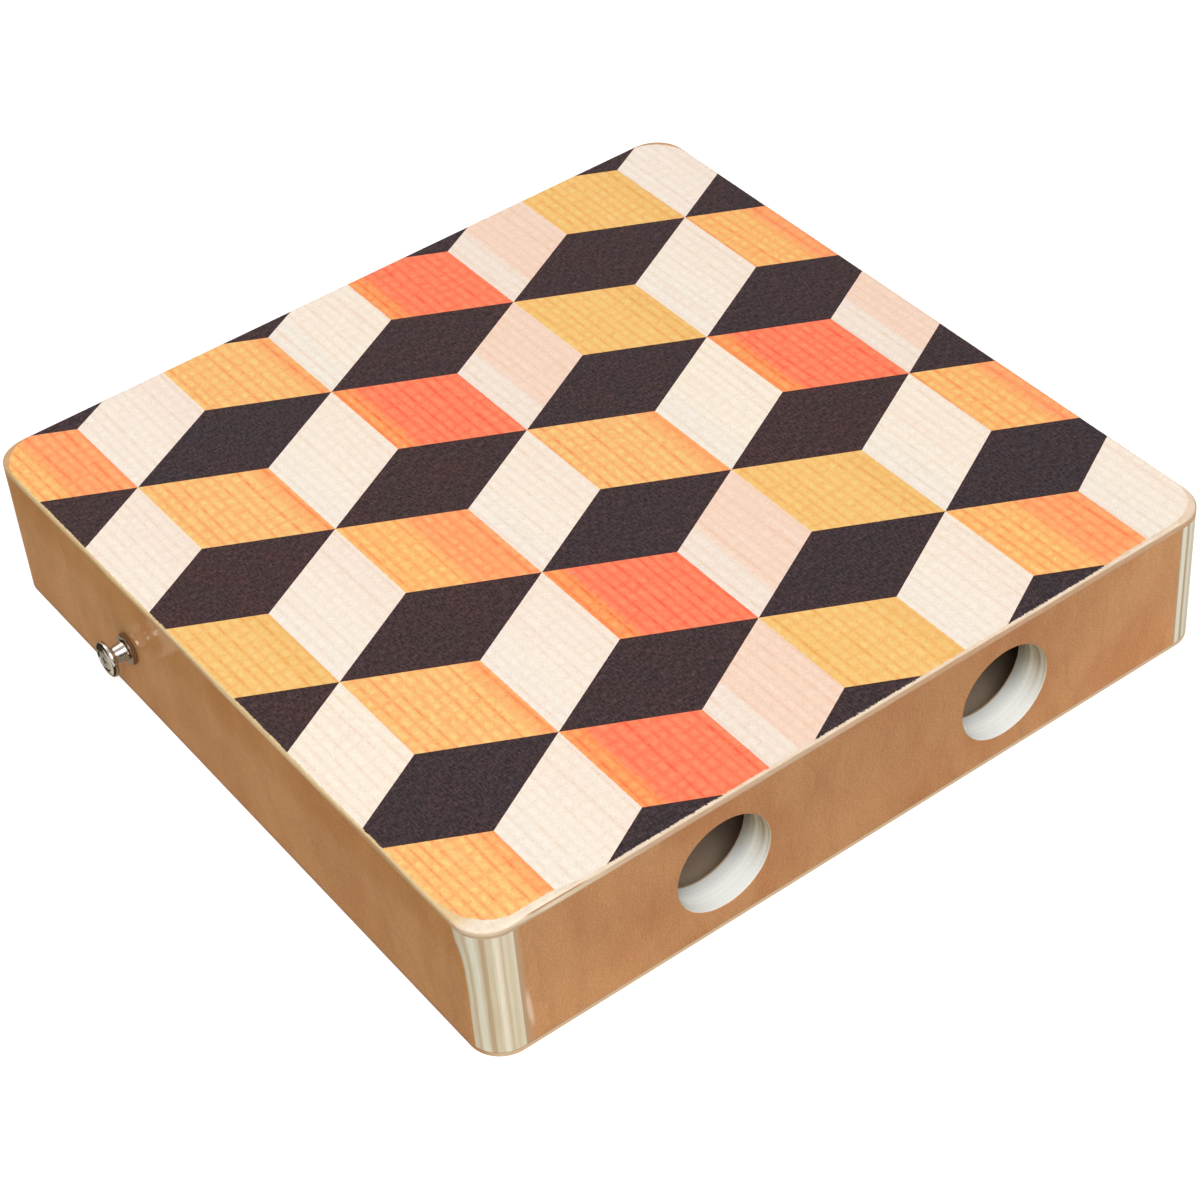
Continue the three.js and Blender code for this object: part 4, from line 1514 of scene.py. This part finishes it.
@dataclass
class StrapButton:
    """A turned strap button with its washer and its screw."""

    side: str
    flange_radius: float = 6.7 * MM
    neck_radius: float = 2.9 * MM
    foot_radius: float = 3.8 * MM
    foot_round: float = 0.8 * MM
    flare: float = 1.8 * MM
    base_radius: float = 5.5 * MM
    base_edge: float = 0.8 * MM
    flange_edge: float = 0.8 * MM
    crown: float = 1.4 * MM
    face_fall: float = 0.25 * MM
    washer_radius: float = 6.0 * MM
    bore: float = 2.2 * MM
    screw_radius: float = 1.9 * MM
    head_radius: float = 3.6 * MM
    head_height: float = 2.2 * MM
    dome: float = 0.25 * MM
    fit: float = 0.3 * MM
    recess_reach: float = 1.8 * MM
    recess_width: float = 0.9 * MM
    recess_depth: float = 1.4 * MM
    softening: float = 0.25 * MM
    thread_pitch: float = 1.4 * MM
    thread_depth: float = 0.35 * MM
    dome_reach: float = 0.6
    dome_drop: float = 0.25
    sides: int = 96
    thread_sides: int = 32
    head_sides: int = 48
    soft_steps: int = 4
    foot_steps: int = 8
    flare_steps: int = 12
    crown_steps: int = 10
    washer_steps: int = 8
    steps_per_turn: int = 8

    def __post_init__(self) -> None:
        """Reads where the button stands from the frame."""
        low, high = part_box(f"strap_button_{self.side}")
        self.way = 1.0 if self.side == "right" else -1.0
        self.base = min(abs(low.x), abs(high.x))
        self.length = high.x - low.x
        centre = (low + high) / 2
        self.stand = axis_turn(Vector((self.way, 0.0, 0.0)), Vector((0.0, centre.y, centre.z)))

    def build_button(self) -> Piece:
        """Builds the turned button: base, narrowing neck, crowned flange and the screw's seat."""
        widest = self.length - self.crown
        under = widest - self.flange_edge
        soft = self.softening
        seat = self.head_radius + self.fit
        floor = self.length - self.head_height - self.fit
        slope = (self.neck_radius - self.foot_radius) / (under - self.base_edge)
        foot_end = self.base_edge + self.foot_round
        flare_start = under - self.flare
        foot = (self.foot_radius, self.base_edge)
        throat = (self.neck_radius, under)
        profile = [(self.bore, 0.0)]
        profile += arc((self.base_radius - soft, soft), soft, -90.0, 0.0, self.soft_steps)
        profile.append((self.base_radius, self.base_edge))
        profile += bend((self.foot_radius + self.foot_round, self.base_edge), foot,
                        (self.foot_radius + slope * self.foot_round, foot_end), self.foot_steps)
        profile += bend((self.neck_radius - slope * self.flare, flare_start), throat,
                        (self.neck_radius + self.flare, under), self.flare_steps)
        profile.append((self.flange_radius - soft, under))
        profile += arc((self.flange_radius - soft, under + soft), soft, -90.0, 0.0, self.soft_steps)
        profile += bend((self.flange_radius, widest), (self.flange_radius, self.length - self.face_fall),
                        (self.flange_radius - self.crown, self.length - self.face_fall), self.crown_steps)
        profile += [(seat + soft, self.length), (seat, self.length - soft), (self.bore, floor)]
        raised = [(radius, self.base + height) for radius, height in profile]
        turned = Draft().turn(raised, self.sides, ring=True).moved(self.stand)
        return turned.piece(f"turned_button_{self.side}")

    def build_washer(self) -> Piece:
        """Builds the felt washer with its soft edge, squeezed a little under the button."""
        low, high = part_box(f"strap_washer_{self.side}")
        start, end = sorted((abs(low.x), abs(high.x)))
        half = (end - start) / 2
        profile = [(self.bore, start), (self.bore, end)]
        profile += arc((self.washer_radius - half, start + half), half, 90.0, -90.0, self.washer_steps)
        turned = Draft().turn(profile, self.sides, ring=True)
        return turned.moved(self.stand).piece(f"felt_washer_{self.side}")

    def build_screw(self) -> Piece:
        """Builds the wood screw: a threaded shank, a sunk head and its cross recess."""
        low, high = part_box(f"strap_screw_{self.side}")
        tip, top = sorted((abs(low.x), abs(high.x)))
        neck = top - self.head_height
        point = tip + 2 * self.screw_radius
        steps = round((neck - point) / (self.thread_pitch / self.steps_per_turn))
        shank = [(self.screw_radius, point + (neck - point) * step / steps) for step in range(steps + 1)]
        wave = screw_thread(self.thread_pitch, self.thread_depth)
        thread = Draft().turn([(0.0, tip), *shank, (0.0, neck)], self.thread_sides, wave=wave)
        profile = [(0.0, neck), (self.screw_radius, neck), (self.head_radius, top - self.dome)]
        profile += [(self.head_radius * self.dome_reach, top - self.dome * self.dome_drop), (0.0, top)]
        head = Draft().turn(profile, self.head_sides)
        shaft = thread.moved(self.stand).piece(f"wood_screw_{self.side}", THREAD_SMOOTH_TO)
        cap = head.moved(self.stand).piece(f"screw_head_{self.side}")
        floor, past = top - self.recess_depth, top + self.dome
        reach, half = self.recess_reach, self.recess_width / 2
        slots = []
        for x, y in ((reach, half), (half, reach)):
            slot = Draft().block(Vector((-x, -y, floor)), Vector((x, y, past)))
            slots.append(slot.moved(self.stand).piece("recess_cutter"))
        carve(cap, slots)
        merge(shaft, cap)
        return shaft

    def build(self) -> None:
        """Builds the three pieces and dresses them."""
        install(self.build_washer(), Felt(), "case", "felt", f"strap_washer_{self.side}")
        install(self.build_button(), CHROME, "case", "chrome", f"strap_button_{self.side}")
        install(self.build_screw(), STEEL, "case", "steel", f"strap_screw_{self.side}")


@dataclass
class TensionBolt:
    """A socket-head bolt that draws a string carrier."""

    side: str
    radius: float = 2.5 * MM
    head_radius: float = 4.25 * MM
    head_height: float = 5.0 * MM
    socket_width: float = 4.0 * MM
    socket_depth: float = 3.0 * MM
    pitch: float = 0.8 * MM
    thread_depth: float = 0.4 * MM
    knurls: int = 48
    knurl_depth: float = 0.15 * MM
    edge: float = 0.4 * MM
    edge_share: float = 1.1
    steps_per_turn: int = 8
    sides: int = 32
    sides_per_knurl: int = 4

    def __post_init__(self) -> None:
        """Reads where the bolt lies from the frame."""
        self.low, self.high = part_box(f"tension_bolt_{self.side}")
        centre = (self.low + self.high) / 2
        self.stand = axis_turn(Vector((0.0, 1.0, 0.0)), Vector((centre.x, 0.0, centre.z)))

    def knurl(self, angle: float, height: float) -> float:
        """Returns what the grip adds to the head's radius at an angle and a height: 0 or less."""
        under = self.high.y - self.head_height
        gripped = under + self.edge < height < self.high.y - self.edge
        return -self.knurl_depth * (0.5 + 0.5 * math.cos(self.knurls * angle)) if gripped else 0.0

    def build(self) -> None:
        """Builds the threaded shank and the knurled head, and dresses them."""
        top, end = self.high.y, self.low.y
        under = top - self.head_height
        steps = round((under - end) / self.pitch * self.steps_per_turn)
        shank = [(self.radius, end + (under - end) * step / steps) for step in range(steps + 1)]
        profile = [(0.0, end), (self.radius - self.thread_depth, end), *shank[1:], (0.0, under)]
        wave = screw_thread(self.pitch, self.thread_depth)
        thread = Draft().turn(profile, self.sides, wave=wave).moved(self.stand)
        bolt = thread.piece(f"bolt_{self.side}", THREAD_SMOOTH_TO)
        edge = self.edge
        past_edge = edge * self.edge_share
        grip = [under + past_edge, under + self.head_height / 2, top - past_edge]
        sides = [(self.head_radius, under + edge)] + [(self.head_radius, height) for height in grip]
        sides.append((self.head_radius, top - edge))
        flat = self.head_radius - edge
        profile = [(0.0, under), (flat, under), *sides, (flat, top), (0.0, top)]
        head = Draft().turn(profile, self.knurls * self.sides_per_knurl, wave=self.knurl).moved(self.stand)
        cap = head.piece(f"bolt_head_{self.side}")
        reach = self.socket_width / math.sqrt(3)
        floor = top - self.socket_depth
        profile = [(0.0, floor), (reach, floor), (reach, top + edge), (0.0, top + edge)]
        hexagon = Draft().turn(profile, HEX_SIDES)
        carve(cap, [hexagon.moved(self.stand).piece("socket_cutter", SOCKET_SMOOTH_TO)])
        merge(bolt, cap)
        install(bolt, BLACK_STEEL, f"bolt_{self.side}", "black_steel", f"tension_bolt_{self.side}")


@dataclass
class SnareString:
    """A plain steel string from the rail, under the tapa and down into its carrier."""

    number: int
    side: str
    radius: float = 0.5 * MM
    bend: float = 2.0 * MM
    bend_steps: int = 8
    run_steps: int = 64
    sides: int = 12

    def path(self) -> list[Vector]:
        """Returns the string's centreline from the ball end to the carrier."""
        low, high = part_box(f"snare_string_{self.number}")
        carrier_low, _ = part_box(f"string_carrier_{self.side}")
        x = (low.x + high.x) / 2
        first, last = low.y + self.radius, high.y - self.radius
        run = high.z - self.radius
        points = [(first, low.z)]
        points += arc((first + self.bend, run - self.bend), self.bend, 180.0, 90.0, self.bend_steps)
        start, end = first + self.bend, last - self.bend
        points += [(start + (end - start) * step / self.run_steps, run) for step in range(1, self.run_steps)]
        points += arc((end, run - self.bend), self.bend, 90.0, 0.0, self.bend_steps)
        points.append((last, carrier_low.z))
        return [Vector((x, y, z)) for y, z in points]

    def build(self) -> None:
        """Builds the string, gives it its finish and bakes it in place."""
        path = self.path()
        across = Vector((1.0, 0.0, 0.0))
        rings = []
        for place, point in enumerate(path):
            before, after = path[max(place - 1, 0)], path[min(place + 1, len(path) - 1)]
            normal = (after - before).normalized().cross(across)
            ring = []
            for side in range(self.sides):
                angle = 2 * math.pi * side / self.sides
                ring.append(point + self.radius * (math.cos(angle) * across + math.sin(angle) * normal))
            rings.append(ring)
        string = Draft().loft(rings).piece(f"steel_string_{self.number}", THREAD_SMOOTH_TO)
        string.data.materials.append(STRING_STEEL.material())
        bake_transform(string)
        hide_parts(f"snare_string_{self.number}")
        LOG.info("%s stretches between case and carrier_%s", string.name, self.side)


@dataclass
class SnareBed:
    """The nodes of the snare mechanism that keep their own shape and get a finish and softened edges."""

    nodes: dict[str, Piece]
    wood_edge: float = 0.5 * MM
    metal_edge: float = 0.2 * MM
    edge_steps: int = 2
    edge_from: float = 50.0

    def dress(self, node: str, finish: Finish, edge: float) -> None:
        """Gives a node its finish and softens its edges.

        Args:
            node: The node's name.
            finish: Its finish.
            edge: The width of the softened edge.
        """
        piece = self.nodes[node]
        piece.data.materials.clear()
        piece.data.materials.append(finish.material())
        bevel = piece.modifiers.new("softened_edge", "BEVEL")
        bevel.width = edge
        bevel.segments = self.edge_steps
        bevel.limit_method = "ANGLE"
        bevel.angle_limit = math.radians(self.edge_from)
        bevel.harden_normals = True
        LOG.info("%s keeps its shape in %s", node, finish.name)

    def build(self) -> None:
        """Dresses the rail, the guide, the carriers and the small metal parts."""
        for node in ("string_rail", "guide_block"):
            self.dress(node, Hardwood(), self.wood_edge)
        for side in SIDES:
            self.dress(f"string_carrier_{side}", STEEL, self.metal_edge)
            self.dress(f"bolt_washer_{side}", STEEL, self.metal_edge)
        for number in STRING_SIDES:
            self.dress(f"ball_end_{number}", BRASS, self.metal_edge)
            self.dress(f"clamp_screw_{number}", BLACK_STEEL, self.metal_edge / 2)


@dataclass(frozen=True)
class FloorCard:
    """A card on the floor, left of the case, that only mirrors see."""

    name: str
    left: float
    right: float
    front: float
    rear: float
    tone: Colour
    height: float = 0.4 * MM

    def corners(self) -> list[tuple[float, float, float]]:
        """Returns the four corners in order."""
        low, high, z = self.front, self.rear, self.height
        return [(self.left, low, z), (self.right, low, z), (self.right, high, z), (self.left, high, z)]


def standing(first: tuple[float, float], last: tuple[float, float], height: float) -> list[tuple]:
    """Returns the corners of a card that stands on the floor between two points."""
    return [(*first, 0.0), (*last, 0.0), (*last, height), (*first, height)]


@dataclass
class Studio:
    """The floor, the light and the camera."""

    floor_reach: float = 6.0
    floor_shade: float = 0.82
    floor_glow: float = 0.45
    horizon: float = 0.14
    zenith: float = 0.48
    dark_card: Colour = srgb(70, 60, 40)
    pale_card: Colour = srgb(244, 238, 222)
    grey_card: Colour = srgb(165, 159, 142)
    brown_card: Colour = srgb(104, 82, 68)
    camera_place: Vector = Vector((-0.43291, -0.65971, 0.71188))
    camera_aim: Vector = Vector((-0.01519, -0.02732, 0.0285))
    camera_roll: float = 5.04
    lens: float = 89.62
    sensor: float = 36.0
    key_place: Vector = Vector((-1.0, -2.5, 3.2))
    key_size: float = 2.0
    key_power: float = 137.0
    overhead_place: Vector = Vector((-0.38, 0.88, 1.58))
    overhead_size: float = 1.2
    overhead_power: float = 7.0
    cards_front: float = -0.7
    cards_rear: float = 1.3

    def seen(self, graph: Graph) -> Field:
        """Returns 1 for the rays that see a surface, and 0 for those that carry light between surfaces."""
        path = graph.node("ShaderNodeLightPath")
        seen = graph.math("MAXIMUM", path.outputs["Is Camera Ray"], path.outputs["Is Glossy Ray"])
        return graph.math("MAXIMUM", seen, path.outputs["Is Transmission Ray"])

    def build_floor(self) -> None:
        """Lays a pale floor that shows white and keeps the object's shadow."""
        reach = self.floor_reach
        corners = [(-reach, -reach, 0.0), (reach, -reach, 0.0), (reach, reach, 0.0), (-reach, reach, 0.0)]
        floor = Draft().sheet(corners).piece("floor")
        material = bpy.data.materials.new("floor")
        graph = blank_graph(material)
        seen = self.seen(graph)
        matt = graph.node("ShaderNodeBsdfDiffuse")
        matt.inputs["Color"].default_value = (self.floor_shade, self.floor_shade, self.floor_shade, 1.0)
        glow = graph.node("ShaderNodeEmission")
        graph.feed(glow.inputs["Strength"], seen * self.floor_glow)
        both = graph.node("ShaderNodeAddShader")
        graph.tree.links.new(matt.outputs[0], both.inputs[0])
        graph.tree.links.new(glow.outputs[0], both.inputs[1])
        drain = graph.node("ShaderNodeOutputMaterial")
        graph.tree.links.new(both.outputs[0], drain.inputs[0])
        floor.data.materials.append(material)

    def build_world(self) -> None:
        """Sets a soft surround, brighter above, that the camera and mirrors see as white."""
        world = bpy.data.worlds.new("studio")
        graph = blank_graph(world)
        way = graph.split(graph.node("ShaderNodeTexCoord").outputs["Generated"])[2]
        soft = graph.ease(way, 0.0, 1.0, self.horizon, self.zenith)
        seen = self.seen(graph)
        glow = graph.node("ShaderNodeBackground")
        lift = seen * (1.0 - soft)
        graph.feed(glow.inputs["Strength"], soft + lift)
        drain = graph.node("ShaderNodeOutputWorld")
        graph.tree.links.new(glow.outputs[0], drain.inputs[0])
        bpy.context.scene.world = world

    def build_lamp(self, name: str, place: Vector, size: float, power: float) -> None:
        """Hangs a square soft lamp that shines on the object.

        Args:
            name: The lamp's name.
            place: Where it hangs.
            size: Its side.
            power: Its power in watts.
        """
        lamp = bpy.data.lights.new(name, "AREA")
        lamp.size = size
        lamp.energy = power
        hung = bpy.data.objects.new(name, lamp)
        hung.location = place
        hung.rotation_euler = (-place).to_track_quat("-Z", "Y").to_euler()
        bpy.context.scene.collection.objects.link(hung)

    def build_card(self, name: str, corners: Sequence[tuple], tone: Colour) -> None:
        """Sets up a card that only mirrors see, as studios do for polished metal.

        Args:
            name: The card's name.
            corners: Its four corners.
            tone: Its colour.
        """
        card = Draft().sheet(corners).piece(name)
        material = bpy.data.materials.new(name)
        material.use_nodes = True
        shader = material.node_tree.nodes["Principled BSDF"]
        Graph(material.node_tree).feed_all(shader, {"Base Color": tone, "Specular IOR Level": 0.0})
        card.data.materials.append(material)
        card.visible_camera = False
        card.visible_diffuse = False
        card.visible_shadow = False
        card.visible_transmission = False

    def build_cards(self) -> None:
        """Sets up the cards round the left side: one standing behind, four on the floor, one in front."""
        self.build_card("card behind", standing((-1.6, 0.3), (-0.4, 1.4), 0.75), self.dark_card)
        front, rear = self.cards_front, self.cards_rear
        laid = (
            FloorCard("card beside", -0.166, -0.1501, front, rear, self.grey_card),
            FloorCard("card around", -0.21, -0.166, front, rear, self.dark_card),
            FloorCard("card under", -0.192, -0.1665, 0.076, 0.0975, self.pale_card, height=0.6 * MM),
            FloorCard("card beyond", -1.5, -0.21, 0.0975, rear, self.dark_card),
        )
        for card in laid:
            self.build_card(card.name, card.corners(), card.tone)
        self.build_card("card before", standing((-0.9, -1.6), (1.2, -1.3), 0.5), self.brown_card)

    def build_camera(self) -> None:
        """Sets the camera where the photograph was taken from."""
        data = bpy.data.cameras.new("camera")
        data.lens = self.lens
        data.sensor_width = self.sensor
        camera = bpy.data.objects.new("camera", data)
        look = (self.camera_aim - self.camera_place).to_track_quat("-Z", "Y").to_matrix().to_4x4()
        roll = Matrix.Rotation(math.radians(-self.camera_roll), 4, "Z")
        camera.matrix_world = Matrix.Translation(self.camera_place) @ look @ roll
        bpy.context.scene.collection.objects.link(camera)
        bpy.context.scene.camera = camera

    def build(self) -> None:
        """Builds the stage."""
        bpy.context.scene.view_settings.view_transform = "Standard"
        self.build_floor()
        self.build_world()
        self.build_lamp("key", self.key_place, self.key_size, self.key_power)
        self.build_lamp("overhead", self.overhead_place, self.overhead_size, self.overhead_power)
        self.build_cards()
        self.build_camera()


def main() -> None:
    """Builds the dressed cajon."""
    logging.basicConfig(level=logging.INFO, format="%(name)s: %(message)s")
    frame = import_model()
    Studio().build()
    Case().build()
    for side in SIDES:
        StrapButton(side).build()
        TensionBolt(side).build()
    for number, side in STRING_SIDES.items():
        SnareString(number, side).build()
    SnareBed(frame["nodes"]).build()


if __name__ == "__main__":
    main()
